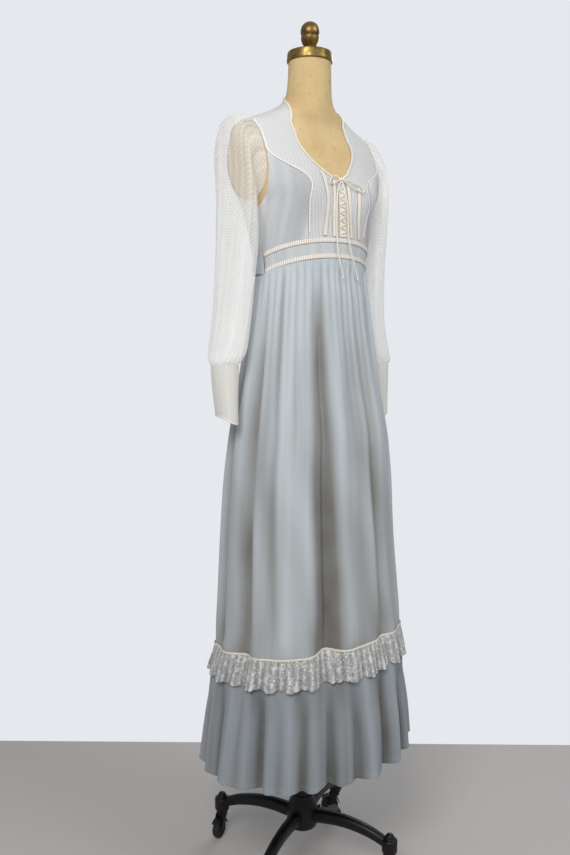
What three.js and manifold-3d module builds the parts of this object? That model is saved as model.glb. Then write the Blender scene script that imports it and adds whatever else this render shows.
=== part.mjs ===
import * as THREE from 'three';
import { mergeVertices } from 'three/addons/utils/BufferGeometryUtils.js';
import Module from 'manifold-3d';

// A long prairie dress on a limbless dress form with a castered iron base.
// Millimetres, +Z up, floor at Z = 0, stem axis at X = Y = 0.
// The dress faces -Y, and the wearer's right side is at -X.
// An angle round the body is 0 at centre front, +90 at the wearer's left, 180 at centre back.

const wasm = await Module();
wasm.setup();

const { PI, abs, asin, cos, exp, hypot, max, min, sign, sin } = Math;
const DEG = PI / 180;
const SIDES = [{ side: 'right', dir: -1 }, { side: 'left', dir: 1 }];

// Cloth
const CLOTH = 1.2; // wall of the voile and the dotted cotton
const NET = 1.0; // wall of the dotted net and the lace
const RIBBON = 1.0; // wall of satin ribbon, piping and zip tape
const SEAM = 0.35; // gap between pieces that are sewn together
const EASE = 0.5; // from the measured surface to the cloth on it
const FORM_INSET = 2.7; // how much smaller the form is below the collar

// Waistband, higher in front than behind
const WAIST_SIDE = 1334; // top edge at the side seams
const WAIST_FRONT_RISE = 35;
const WAIST_BACK_DROP = 10;
const WAISTBAND = 41; // its full height
const BAND_STEPS = 17;
const RIBBON_WIDTH = 9;
const BAND_END = 84; // angle of the side seams, where the ties start

// Skirt, flounce and lace
const LACE_LEVEL = 534; // seam of the flounce
const HEM_LEVEL = 270;
const HEM_TILT = 20; // the skirt hangs higher at TILT_ANGLE by this much
const TILT_ANGLE = 50;
const LACE_DROP = 55;
const LACE_WAVES = 30;
const SKIRT_STEPS = 90; // points round the skirt, three to a gather
const SKIRT_ROWS = 6;
const FLOUNCE_ROWS = 3;
const GATHERS = 30;
const GATHER_DEPTH = 3;

// Bodice
const ARMHOLE = 150; // distance of the armhole planes from the middle
const UNDERARM = 1440;
const SHOULDER = 1603; // outer end of the shoulder seam
const YOKE_CORNER = 1531; // where the yoke seam meets the armhole
const BACK_YOKE = 1545; // seam of the back yoke
const NECK_DIP = 1488; // lowest point of the neckline
const COLLAR_TOP = 1675;
const ZIP_WIDTH = 14;
const ZIP_TOP = 1668;
const ZIP_LOW = 1217;
const ZIP_BEND = 1283; // where the tape passes from the waistband to the skirt
// Zip slider and its pull tab, about a crossbar that turns inside the slider's bail
const SLIDER = { z: 1660, lean: 24, wide: 8, long: 11, body: 2.2, bailWide: 2, bailTop: 6.2 };
const PULL = { axisOut: 3.97, axisUp: -1.1, bar: 1.4, wide: 6, hole: 2.6, neck: 5.3, long: 17, hang: 14 };
const PIPING_WIDTH = 4.5;

// Stand
const STEM_LOW = 430;
const FORM_LOW = 905;
const STEM_RADIUS = 13.8;
const COLUMN_RADIUS = 23;
const COLUMN_BORE = 14.5;
const COLUMN_LOW = 150.4;
const COLUMN_TOP = 640;
const LEG_RADIUS = 206; // stem axis to caster pivot
const LEG_TURN = 26.8; // degrees of the first leg from +X
const LEGS = 4;
const BOSS_LOW = 60;
const WHEEL_RADIUS = 21;
const WHEEL_WIDTH = 15;
const WHEEL_FACETS = 16;
const AXLE_RADIUS = 3;
const SWIVEL_RADIUS = 5;
const SWIVEL_TOP = 82; // the swivel stem's end inside its boss
const FORK_TOP = 59.6;
const CHEEK = 3; // thickness of a fork's cheeks
const CASTER_TRAIL = 14; // pivot to axle, level
const RUN_GAP = 0.4; // running clearance of wheels and swivels
const AXLE_HEIGHT = WHEEL_RADIUS * cos(PI / WHEEL_FACETS);
const CASTER_TURNS = [150, 205, 260, 185]; // direction in which each caster trails
const PEDAL_TURN = -18; // direction in which the pedal points
const PEDAL_AXIS = { out: 42, z: 100 };
const PEDAL_PIN = 3;
const PEDAL_BARREL = 6;

const COLOURS = {
  voile: { color: 0xb4c1c9, roughness: 0.85, metalness: 0 },
  dotted: { color: 0xe4e6e6, roughness: 0.85, metalness: 0 },
  net: { color: 0xeeeeec, roughness: 0.9, metalness: 0 },
  lace: { color: 0xf2f0ea, roughness: 0.85, metalness: 0 },
  satin: { color: 0xf0e8d8, roughness: 0.4, metalness: 0 },
  zip: { color: 0xc9d2d8, roughness: 0.6, metalness: 0 },
  canvas: { color: 0xd9c39a, roughness: 0.9, metalness: 0 },
  brass: { color: 0x8d7442, roughness: 0.4, metalness: 0.9 },
  iron: { color: 0x14100f, roughness: 0.45, metalness: 0.6 },
  tyre: { color: 0x161616, roughness: 0.6, metalness: 0 },
};

// Sections of the dress form: half width, and front and back distance from the stem axis.
// flat is the exponent of the section: 2 is an ellipse, more is squarer.
const FORM_SECTIONS = [
  { z: 1737, half: 45, front: 45, back: 45, flat: 2.0 },
  { z: 1700, half: 46, front: 46, back: 47, flat: 2.0 },
  { z: 1672, half: 48, front: 47, back: 52, flat: 2.0 },
  { z: 1652, half: 56, front: 47, back: 60, flat: 2.0 },
  { z: 1636, half: 76, front: 46, back: 72, flat: 2.1 },
  { z: 1622, half: 104, front: 45, back: 82, flat: 2.2 },
  { z: 1610, half: 134, front: 44, back: 90, flat: 2.2 },
  { z: 1598, half: 162, front: 46, back: 96, flat: 2.3 },
  { z: 1575, half: 184, front: 55, back: 102, flat: 2.3 },
  { z: 1545, half: 192, front: 68, back: 107, flat: 2.4 },
  { z: 1510, half: 186, front: 82, back: 108, flat: 2.5 },
  { z: 1475, half: 170, front: 93, back: 106, flat: 2.4 },
  { z: 1440, half: 150, front: 99, back: 102, flat: 2.3 },
  { z: 1400, half: 141, front: 102, back: 96, flat: 2.2 },
  { z: 1350, half: 132, front: 103, back: 89, flat: 2.1 },
  { z: 1300, half: 126, front: 104, back: 84, flat: 2.0 },
  { z: 1210, half: 120, front: 98, back: 82, flat: 2.0 },
  { z: 1110, half: 142, front: 104, back: 96, flat: 2.0 },
  { z: 1010, half: 160, front: 114, back: 110, flat: 2.0 },
  { z: 950, half: 156, front: 112, back: 106, flat: 2.0 },
  { z: 905, half: 146, front: 104, back: 98, flat: 2.0 },
];
const BUST = { x: 82, z: 1452, spread: 44, depth: 13 };

// Inner edge of the neckline: angle from centre front on each side, from the dip up to the nape.
const NECKLINE = [
  { z: 1488, right: 0.6, left: 0.6 },
  { z: 1493, right: 3.6, left: 3.2 },
  { z: 1509, right: 9.6, left: 6.6 },
  { z: 1531, right: 15.6, left: 11.4 },
  { z: 1556, right: 20.4, left: 15.6 },
  { z: 1580, right: 22.4, left: 15.8 },
  { z: 1600, right: 27.0, left: 18.0 },
  { z: 1615, right: 35.5, left: 26.0 },
  { z: 1633, right: 56.0, left: 47.0 },
  { z: 1648, right: 84.0, left: 80.0 },
  { z: 1660, right: 110.0, left: 108.0 },
  { z: 1668, right: 136.0, left: 134.0 },
  { z: 1672, right: 172.0, left: 172.0 },
];

// Outer seam of the front yoke: distance from the middle, from the waistband up to the armhole.
const YOKE_SEAM = [
  { z: 1335, out: 75 },
  { z: 1372, out: 75 },
  { z: 1405, out: 78 },
  { z: 1437, out: 82 },
  { z: 1458, out: 79 },
  { z: 1474, out: 77 },
  { z: 1490, out: 89 },
  { z: 1505, out: 115 },
  { z: 1518, out: 137 },
  { z: 1531, out: 150 },
];

// Sections of the skirt down to the flounce seam, over the tops of the folds.
const SKIRT_SECTIONS = [
  { z: 1335, half: 131.5, front: 105.5, back: 89.5 },
  { z: 1300, half: 130, front: 107, back: 87 },
  { z: 1253, half: 139, front: 115, back: 87 },
  { z: 1202, half: 147, front: 122, back: 93 },
  { z: 1142, half: 156, front: 133, back: 106 },
  { z: 1069, half: 166, front: 146, back: 122 },
  { z: 972, half: 180, front: 168, back: 148 },
  { z: 908, half: 187, front: 174, back: 157 },
  { z: 789, half: 195, front: 184, back: 168 },
  { z: 687, half: 201, front: 194, back: 175 },
  { z: 567, half: 208, front: 207, back: 181 },
  { z: 508, half: 212, front: 213, back: 187 },
  { z: 456, half: 219, front: 221, back: 195 },
  { z: 364, half: 232, front: 234, back: 211 },
  { z: 250, half: 243, front: 243, back: 227 },
];

// Hollows between the skirt's folds: angle, half width in degrees, and depth high and low.
const SKIRT_HOLLOWS = [
  { at: -81, wide: 8, high: 9, low: 22 },
  { at: -62, wide: 6, high: 9, low: 4 },
  { at: -44, wide: 5, high: 5, low: 2 },
  { at: -26, wide: 7.5, high: 15, low: 44 },
  { at: -2, wide: 14, high: 9, low: 10 },
  { at: 15, wide: 6, high: 7, low: 14 },
  { at: 34, wide: 6, high: 8, low: 5 },
  { at: 53, wide: 7, high: 5, low: 15 },
  { at: 75, wide: 7, high: 8, low: 6 },
  { at: 96, wide: 7, high: 6, low: 24 },
  { at: 118, wide: 7, high: 9, low: 7 },
  { at: 141, wide: 8, high: 7, low: 30 },
  { at: 162, wide: 7, high: 4, low: 6 },
  { at: 195, wide: 8, high: 5, low: 26 },
  { at: 214, wide: 6, high: 8, low: 6 },
  { at: 232, wide: 8, high: 7, low: 24 },
  { at: 254, wide: 7, high: 8, low: 9 },
];

// Hollows of the flounce: depth at its seam and at the hem.
const FLOUNCE_HOLLOWS = [
  { at: -113, wide: 7, high: 2, low: 20 },
  { at: -96, wide: 6, high: 5, low: 16 },
  { at: -80, wide: 5, high: 2, low: 6 },
  { at: -66, wide: 6, high: 3, low: 26 },
  { at: -54, wide: 4, high: 3, low: 7 },
  { at: -42, wide: 5, high: 2, low: 18 },
  { at: -27, wide: 6, high: 2, low: 36 },
  { at: -12, wide: 7, high: 3, low: 22 },
  { at: 9, wide: 6, high: 4, low: 26 },
  { at: 27, wide: 6, high: 3, low: 24 },
  { at: 46, wide: 7, high: 4, low: 20 },
  { at: 66, wide: 6, high: 3, low: 14 },
  { at: 84, wide: 7, high: 5, low: 26 },
  { at: 106, wide: 6, high: 3, low: 14 },
  { at: 127, wide: 8, high: 4, low: 28 },
  { at: 150, wide: 6, high: 3, low: 18 },
  { at: 172, wide: 7, high: 4, low: 24 },
  { at: 193, wide: 6, high: 3, low: 16 },
  { at: 213, wide: 7, high: 4, low: 27 },
  { at: 231, wide: 6, high: 3, low: 18 },
];

// Sleeve rings, each from its top outer point to its low inner point.
// out is the distance from the middle, mid how far it hangs to the back, across its half width.
const SLEEVE_RINGS = [
  { topOut: 170, topZ: 1610, lowOut: 155, lowZ: 1434, mid: 31, across: 67 },
  { topOut: 187, topZ: 1604, lowOut: 156, lowZ: 1425, mid: 25, across: 67 },
  { topOut: 199, topZ: 1584, lowOut: 156, lowZ: 1412, mid: 19, across: 66 },
  { topOut: 203, topZ: 1546, lowOut: 155, lowZ: 1394, mid: 13, across: 66 },
  { topOut: 202, topZ: 1492, lowOut: 154, lowZ: 1368, mid: 10, across: 65 },
  { topOut: 203, topZ: 1418, lowOut: 152, lowZ: 1328, mid: 12, across: 64 },
  { topOut: 208, topZ: 1325, lowOut: 153, lowZ: 1272, mid: 15, across: 58 },
  { topOut: 217, topZ: 1220, lowOut: 157, lowZ: 1195, mid: 16, across: 52 },
  { topOut: 233, topZ: 1146, lowOut: 166, lowZ: 1140, mid: 11, across: 47 },
  { topOut: 240, topZ: 1122, lowOut: 177, lowZ: 1121, mid: 6, across: 38 },
  { topOut: 239, topZ: 1112.5, lowOut: 183, lowZ: 1112.5, mid: 4, across: 29 },
];
const SLEEVE_STEPS = 16;
const SLEEVE_FOLDS = 5;
const SLEEVE_FOLD_DEPTH = 3;
const CUFF_RINGS = [
  { z: 1112, out: 211, half: 28, mid: 4, across: 29 },
  { z: 1085, out: 211, half: 27, mid: 3, across: 28.5 },
  { z: 1050, out: 211, half: 24, mid: 1, across: 28 },
  { z: 1014, out: 210, half: 21, mid: -2, across: 27.5 },
];
const CUFF_STEPS = 16;
const CUFF_POINT = 17; // how far the lower edge dips to its point
const CUFF_POINT_ANGLE = 25;
const CUFF_EDGE = 5; // satin edge under the cuff

// Ribbons sewn down the front: distance from the middle at each height.
const FRONT_RIBBONS = [
  { name: 'ribbon_outer_right', route: [[-41, 1372], [-39, 1405], [-36, 1440], [-39, 1480], [-43, 1497]] },
  { name: 'ribbon_inner_right', route: [[-19, 1371], [-19, 1405], [-18, 1440], [-13, 1484]] },
  { name: 'ribbon_inner_left', route: [[27, 1371], [24, 1405], [23, 1440], [23, 1486]] },
  { name: 'ribbon_outer_left', route: [[52, 1371], [49, 1405], [48, 1440], [50, 1478]] },
];
const FRONT_RIBBON_WIDTH = 7.5;
const FRONT_STEP = 1.2; // how much further off the front ribbons lie than the pipings
const PLACKET = { middle: 4, half: 9, low: 1371.5, high: 1478 };
const LACING_ROWS = 7;
const LACING_RADIUS = 0.9;

// Cord bow at the neckline: x and height of its loops and of its two hanging ends,
// with their lift over the form. Points chosen by hand.
const CORD_RADIUS = 1.3;
const KNOT = { x: 3, z: 1484, lift: 9, radius: 3.6 };
const BOW_LOOPS = [
  [
    [0, 1485, 9], [-11, 1490, 9], [-24, 1485, 8.4], [-29, 1477, 7.4], [-21, 1474, 7.6], [-9, 1480, 9],
    [0, 1483, 9],
  ],
  [
    [6, 1485, 9], [22, 1484, 9.4], [42, 1479, 9], [58, 1471, 7.4], [55, 1464, 7.4], [36, 1470, 8.6],
    [18, 1478, 9], [6, 1483, 9],
  ],
];
const CORD_TAILS = [
  {
    name: 'lace_tail_right',
    route: [
      [1.2, 1480.2, 9], [-5, 1470, 7.4], [-13, 1450, 6.9], [-16, 1415, 6.9], [-15, 1375, 7.2],
      [-12, 1340, 8], [-7, 1312, 9.5], [-2, 1290, 12],
    ],
  },
  {
    name: 'lace_tail_left',
    route: [
      [4.4, 1480.7, 9], [8, 1468, 8.4], [12, 1440, 8.6], [14, 1405, 8], [16, 1372, 7.8],
      [24, 1338, 8], [33, 1312, 9.5], [39, 1290, 12],
    ],
  },
];

// Ties from the side seams, their knot behind and their hanging ends
const TIE_RUN = [
  { z: 84.7, low: 0, high: 0 },
  { z: 98, low: 5, high: 9 },
  { z: 116, low: 8, high: 17 },
  { z: 145, low: 9, high: 18 },
  { z: 176.5, low: 9, high: 18 },
];
const TIE_THICK = 2;
const TIE_KNOT = { y: 97.6, z: 1300, wide: 15, deep: 8.5, high: 13 };
const TIE_ENDS = [
  {
    name: 'tie_end_right',
    dir: -1,
    route: [[6, 1284.8], [9, 1260], [13, 1215], [16, 1150], [18, 1085], [21, 1020], [23, 975]],
  },
  {
    name: 'tie_end_left',
    dir: 1,
    route: [[7, 1284.8], [10, 1258], [15, 1210], [19, 1145], [23, 1080], [27, 1015], [28, 960]],
  },
];
const TIE_END_WIDTHS = [9, 13, 18, 22, 25, 28, 30];
const TIE_END_LIFT = 5; // between the skirt and the hanging ends

/** Value of one named column of a table at a height, on a smooth curve through its rows. */
function column(table, name, z) {
  const rows = table[0].z < table[table.length - 1].z ? table : [...table].reverse();
  const last = rows.length - 1;
  const height = min(max(z, rows[0].z), rows[last].z);
  let i = 0;
  while (i < last - 1 && height > rows[i + 1].z) i += 1;
  const slope = (a, b) => (rows[b][name] - rows[a][name]) / (rows[b].z - rows[a].z);
  const here = slope(i, i + 1);
  const tangent = (a, b, inside) => (inside ? (slope(a, a + 1) + slope(b, b + 1)) / 2 : here);
  const low = tangent(i - 1, i, i > 0);
  const high = tangent(i, i + 1, i + 1 < last);
  const step = rows[i + 1].z - rows[i].z;
  const t = (height - rows[i].z) / step;
  const bend = (1 - t) * t * step;
  const chord = rows[i][name] * (1 - t) + rows[i + 1][name] * t;
  return chord + bend * ((low - here) * (1 - t) - (high - here) * t);
}

const mix = (a, b, t) => a + (b - a) * t;
const power = (value, exponent) => sign(value) * abs(value) ** exponent;
const vec = (x, y, z) => new THREE.Vector3(x, y, z);

/** Point of the form's surface at an angle and height, before the armhole planes cut it. */
function formPoint(angle, z) {
  const half = column(FORM_SECTIONS, 'half', z);
  const front = column(FORM_SECTIONS, 'front', z);
  const back = column(FORM_SECTIONS, 'back', z);
  const bend = 2 / column(FORM_SECTIONS, 'flat', z);
  const x = half * power(sin(angle * DEG), bend);
  const facing = cos(angle * DEG);
  const y = (back - front) / 2 - (back + front) / 2 * power(facing, bend);
  const reach = ((abs(x) - BUST.x) / BUST.spread) ** 2 + ((z - BUST.z) / BUST.spread) ** 2;
  return vec(x, y - BUST.depth * exp(-reach) * max(facing, 0) ** 0.5, z);
}

/** Outward unit normal of the form's surface. */
function formNormal(angle, z) {
  const round = formPoint(angle + 1, z).sub(formPoint(angle - 1, z));
  const up = formPoint(angle, z + 2).sub(formPoint(angle, z - 2));
  return round.cross(up).normalize();
}

/** Point that stands off the form's surface by a lift. */
const onForm = (angle, z, lift) => formPoint(angle, z).addScaledVector(formNormal(angle, z), lift);

/** Angle at which the form's section at a height reaches a distance from the middle. */
function angleAt(out, z) {
  const half = column(FORM_SECTIONS, 'half', z);
  const flat = column(FORM_SECTIONS, 'flat', z);
  return out >= half ? 90 : asin((out / half) ** (flat / 2)) / DEG;
}

/** Height of the waistband's top edge at an angle. */
function waistTop(angle) {
  const facing = cos(angle * DEG);
  return WAIST_SIDE + (facing > 0 ? WAIST_FRONT_RISE : WAIST_BACK_DROP) * facing;
}
const waistLow = (angle) => waistTop(angle) - WAISTBAND;
const tilt = (angle) => HEM_TILT * cos((angle - TILT_ANGLE) * DEG);

/** Closed body from a grid of outer points and one of inner points, rows by columns. */
function wall(outer, inner, closed) {
  const rows = outer.length;
  const cols = outer[0].length;
  const count = rows * cols;
  const points = [...outer.flat(), ...inner.flat()].flatMap((p) => [p.x, p.y, p.z]);
  const faces = [];
  const quad = (a, b, c, d) => faces.push(a, b, c, a, c, d);
  const at = (r, c) => r * cols + (c % cols);
  const spans = closed ? cols : cols - 1;
  for (let r = 0; r < rows - 1; r += 1) {
    for (let c = 0; c < spans; c += 1) {
      quad(at(r, c), at(r, c + 1), at(r + 1, c + 1), at(r + 1, c));
      quad(count + at(r, c), count + at(r + 1, c), count + at(r + 1, c + 1), count + at(r, c + 1));
    }
  }
  for (let c = 0; c < spans; c += 1) {
    const top = rows - 1;
    quad(at(0, c), count + at(0, c), count + at(0, c + 1), at(0, c + 1));
    quad(at(top, c), at(top, c + 1), count + at(top, c + 1), count + at(top, c));
  }
  if (!closed) {
    const edge = cols - 1;
    for (let r = 0; r < rows - 1; r += 1) {
      quad(at(r, 0), at(r + 1, 0), count + at(r + 1, 0), count + at(r, 0));
      quad(at(r, edge), count + at(r, edge), count + at(r + 1, edge), at(r + 1, edge));
    }
  }
  return solid(points, faces);
}

/** Indexed geometry whose faces point outwards. */
function solid(points, faces) {
  const p = (i) => vec(points[3 * i], points[3 * i + 1], points[3 * i + 2]);
  let volume = 0;
  for (let i = 0; i < faces.length; i += 3) {
    volume += p(faces[i]).dot(p(faces[i + 1]).cross(p(faces[i + 2])));
  }
  const index = volume < 0 ? faces.map((_, i) => faces[i - (i % 3) + 2 - (i % 3)]) : faces;
  const geometry = new THREE.BufferGeometry();
  geometry.setAttribute('position', new THREE.Float32BufferAttribute(points, 3));
  geometry.setIndex(index);
  return geometry;
}

/** Grid of points from a function of row and column, both from 0 to 1. */
function grid(rows, cols, place) {
  const line = (r) => Array.from({ length: cols }, (_, c) => place(r / (rows - 1), c, r));
  return Array.from({ length: rows }, (_, r) => line(r));
}

/** Copy of a grid moved along its own normals. */
function offset(points, distance, closed) {
  const rows = points.length;
  const cols = points[0].length;
  const pick = (r, c) => {
    const line = points[min(max(r, 0), rows - 1)];
    return line[closed ? (c + cols) % cols : min(max(c, 0), cols - 1)];
  };
  return points.map((line, r) => line.map((p, c) => {
    const round = pick(r, c + 1).clone().sub(pick(r, c - 1));
    const down = pick(r + 1, c).clone().sub(pick(r - 1, c));
    return p.clone().addScaledVector(round.cross(down).normalize(), distance);
  }));
}

/** Closed body through rings of points, with a flat cap at each end. */
function loft(rings) {
  const cols = rings[0].length;
  const points = rings.flat().flatMap((p) => [p.x, p.y, p.z]);
  const faces = [];
  for (let r = 0; r < rings.length - 1; r += 1) {
    for (let c = 0; c < cols; c += 1) {
      const a = r * cols + c;
      const b = r * cols + ((c + 1) % cols);
      faces.push(a, b, b + cols, a, b + cols, a + cols);
    }
  }
  const last = (rings.length - 1) * cols;
  for (let c = 1; c < cols - 1; c += 1) {
    faces.push(0, c + 1, c, last, last + c, last + c + 1);
  }
  return solid(points, faces);
}

/** Ring of revolution from a profile of [radius, height] points that ends on the axis or on itself. */
function turned(profile, steps) {
  const geometry = new THREE.LatheGeometry(profile.map(([r, z]) => new THREE.Vector2(r, z)), steps);
  return geometry.rotateX(PI / 2);
}

/** The same geometry with only its positions, shared between faces. */
function welded(geometry) {
  const bare = geometry.clone();
  bare.deleteAttribute('normal');
  bare.deleteAttribute('uv');
  return mergeVertices(bare, 1e-4);
}

/** Manifold body of a closed geometry, turned right side out. */
function toManifold(geometry) {
  const bare = welded(geometry);
  const fixed = solid([...bare.attributes.position.array], dropFlat([...bare.index.array]));
  return new wasm.Manifold(new wasm.Mesh({
    numProp: 3,
    vertProperties: new Float32Array(fixed.attributes.position.array),
    triVerts: new Uint32Array(fixed.index.array),
  }));
}

/** Faces without those that merging has closed up. */
function dropFlat(faces) {
  const kept = [];
  for (let i = 0; i < faces.length; i += 3) {
    const [a, b, c] = faces.slice(i, i + 3);
    if (a !== b && b !== c && c !== a) kept.push(a, b, c);
  }
  return kept;
}

/** Geometry of a manifold body. */
function fromManifold(body) {
  const mesh = body.getMesh();
  return solid([...mesh.vertProperties], [...mesh.triVerts]);
}

/** Closed geometry ready to hand over: welded, whole and facing out. */
function clean(geometry) {
  const bare = welded(geometry);
  return solid([...bare.attributes.position.array], dropFlat([...bare.index.array]));
}

/** Tube of a round section along a smooth curve through points. */
function tube(points, radius, sides, steps) {
  const curve = new THREE.CatmullRomCurve3(points.map(([x, y, z]) => vec(x, y, z)));
  const circle = new THREE.Shape();
  circle.absarc(0, 0, radius, 0, 2 * PI);
  const section = new THREE.Shape(circle.getPoints(sides).slice(0, sides));
  return clean(new THREE.ExtrudeGeometry(section, { steps, extrudePath: curve, curveSegments: sides }));
}

const group = new THREE.Group();

/** Adds one named piece to the object. */
function add(name, geometry, colour) {
  const mesh = new THREE.Mesh(geometry, new THREE.MeshStandardMaterial(COLOURS[colour]));
  mesh.name = name;
  group.add(mesh);
  return mesh;
}

// Dress form

/** The form's torso and neck: sections cut flat by the armhole planes. */
function buildTorso() {
  const steps = 26;
  const heights = [...FORM_SECTIONS.map((row) => row.z), 1661, 1588, 1458].sort((a, b) => a - b);
  const rings = heights.map((z) => Array.from({ length: steps }, (_, i) => {
    const p = onForm((i * 360) / steps, z, z < COLLAR_TOP ? -FORM_INSET : 0);
    p.x = min(max(p.x, -ARMHOLE), ARMHOLE);
    return p;
  }));
  add('form_torso', loft(rings), 'canvas');
}

/** Brass cap on the neck and the turned finial with its side screw. */
function buildFinial() {
  const cap = [[0, 1737.3], [47, 1737.3], [48, 1740], [47, 1755], [43, 1758], [0, 1758]];
  add('neck_cap', clean(turned(cap, 24)), 'brass');
  const knob = [
    [0, 1758.3], [13, 1758.3], [12.5, 1762], [10.5, 1766], [12, 1771], [17, 1779], [19, 1787], [18, 1791.5],
    [19.8, 1796], [19.6, 1804], [16.5, 1812], [10, 1818], [0, 1820],
  ];
  const body = toManifold(turned(knob, 12));
  const screw = new THREE.CylinderGeometry(2.6, 2.6, 9, 8).rotateZ(PI / 2).translate(14.5, 0, 1768);
  add('finial', fromManifold(body.add(toManifold(screw.rotateZ(-10 * DEG)))), 'brass');
}

// Bodice

const outerLift = EASE + CLOTH; // outer face of the cloth on the form
const trimLow = outerLift + SEAM + 0.5; // inner face of what is sewn onto it

/** Wall between two lifts over the form, from a function that gives [angle, height]. */
function panel(rows, cols, place, low, high) {
  const at = (lift) => grid(rows, cols, (v, c, r) => onForm(...place(v, c / (cols - 1), r), lift));
  return wall(at(high), at(low), false);
}

/** Angle of the yoke's outer edge: the seam, then the armhole, then the shoulder seam. */
function yokeEdge(z) {
  const out = z < YOKE_CORNER ? column(YOKE_SEAM, 'out', z) : ARMHOLE;
  return angleAt(out, z);
}

/** Height on a row, lowered at the first row to follow the waistband. */
const followWaist = (z, row, angle) => (row === 0 ? waistTop(angle) + SEAM : z);

/** Angle of a small distance along the surface at a place. */
const angleOf = (distance, z) => distance / (column(FORM_SECTIONS, 'half', z) * DEG);

// Rows of the panels on both sides of the front yoke seam
const SEAM_ROWS = [WAIST_SIDE + WAIST_FRONT_RISE, 1405, 1440, 1458, 1474, NECK_DIP, 1498, 1509, 1520];

// Rows of the back panels, which the zip tape follows
const BACK_ROWS = [
  WAIST_SIDE - WAIST_BACK_DROP, 1370, 1405, 1440, 1446, 1458, 1475, 1510, BACK_YOKE - SEAM,
];
const BACK_YOKE_ROWS = [BACK_YOKE, 1563, 1581, SHOULDER - 5, 1610, 1622, 1636, 1649, 1661, 1666, 1671];

function buildFrontYokes() {
  const heights = [...SEAM_ROWS, YOKE_CORNER, 1546, 1562, 1580, SHOULDER - 5, 1610, 1622, 1636, 1648];
  for (const { side, dir } of SIDES) {
    const place = (_, u, r) => {
      const z = heights[r];
      const inner = z <= NECK_DIP ? angleOf(SEAM / 2, z) : column(NECKLINE, side, z);
      const edge = yokeEdge(z) - angleOf(SEAM / 2, z);
      const angle = mix(inner, max(edge, inner + 1), u);
      return [dir * angle, followWaist(z, r, angle)];
    };
    add(`yoke_front_${side}`, panel(heights.length, 5, place, EASE, outerLift), 'dotted');
  }
}

function buildBackYokes() {
  const heights = BACK_YOKE_ROWS;
  for (const { side, dir } of SIDES) {
    const place = (_, u, r) => {
      const z = heights[r];
      const shoulder = 180 - yokeEdge(z);
      const start = max(shoulder, column(NECKLINE, side, z)) + angleOf(SEAM / 2, z);
      return [dir * mix(start, 180 - angleOf(SEAM / 2, z), u), z];
    };
    add(`yoke_back_${side}`, panel(heights.length, 6, place, EASE, outerLift), 'dotted');
  }
}

function buildSideFronts() {
  const heights = [...SEAM_ROWS, YOKE_CORNER - 3];
  for (const { side, dir } of SIDES) {
    const place = (_, u, r) => {
      const z = heights[r];
      const start = yokeEdge(z) + angleOf(SEAM, z);
      const end = max(angleAt(ARMHOLE, z) - angleOf(SEAM / 2, z), start + 0.6);
      const angle = mix(start, end, u);
      return [dir * angle, followWaist(z, r, angle)];
    };
    add(`side_front_${side}`, panel(heights.length, 5, place, EASE, outerLift), 'voile');
  }
}

function buildBacks() {
  const heights = BACK_ROWS;
  for (const { side, dir } of SIDES) {
    const place = (_, u, r) => {
      const z = heights[r];
      const start = 180 - angleAt(ARMHOLE, z) + angleOf(SEAM / 2, z);
      const angle = mix(start, 180 - angleOf(SEAM / 2, z), u);
      return [dir * angle, followWaist(z, r, angle)];
    };
    add(`bodice_back_${side}`, panel(heights.length, 7, place, EASE, outerLift), 'voile');
  }
}

/** Flat trim of a given width along a route of [angle, height] on the form. */
function trim(route, width, low, thickness) {
  const centre = route.map(([angle, z]) => formPoint(angle, z));
  const edge = (lift) => route.map(([angle, z], i) => {
    const normal = formNormal(angle, z);
    const next = centre[min(i + 1, centre.length - 1)];
    const along = next.clone().sub(centre[max(i - 1, 0)]).normalize();
    const across = normal.clone().cross(along).normalize();
    const middle = centre[i].clone().addScaledVector(normal, lift);
    return [-width / 2, width / 2].map((shift) => middle.clone().addScaledVector(across, shift));
  });
  return wall(edge(low + thickness), edge(low), false);
}

// Heights of the points along the pipings
const NECK_ROWS = [
  1490, 1500, 1512, 1526, 1542, 1561, 1580, 1600, 1613, 1625, 1637, 1647, 1656, 1663, 1668,
];
const PIPING_ROWS = [
  1376, 1405, 1437, 1458, 1474, 1484, 1492, 1500, 1508, 1516, 1525, 1535, 1550, 1575, 1597,
];

/** Satin piping along the neckline and along the yoke seam and armhole. */
function buildPipings() {
  for (const { side, dir } of SIDES) {
    const inset = (z) => column(NECKLINE, side, z) + angleOf(PIPING_WIDTH / 2, z);
    const neck = NECK_ROWS.map((z) => [dir * inset(z), z]);
    add(`neck_piping_${side}`, trim(neck, PIPING_WIDTH, trimLow, RIBBON), 'satin');
    const edge = (z) => yokeEdge(z) - angleOf(PIPING_WIDTH / 2 + 0.6, z);
    const seam = PIPING_ROWS.map((z) => [dir * edge(z), z]);
    add(`yoke_piping_${side}`, trim(seam, PIPING_WIDTH - 1, trimLow, RIBBON), 'satin');
  }
}

/** Place on the front of the form from a distance from the middle, a height and a lift. */
const onFront = ([x, z, lift]) => onForm(sign(x) * angleAt(abs(x), z), z, lift);

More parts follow.
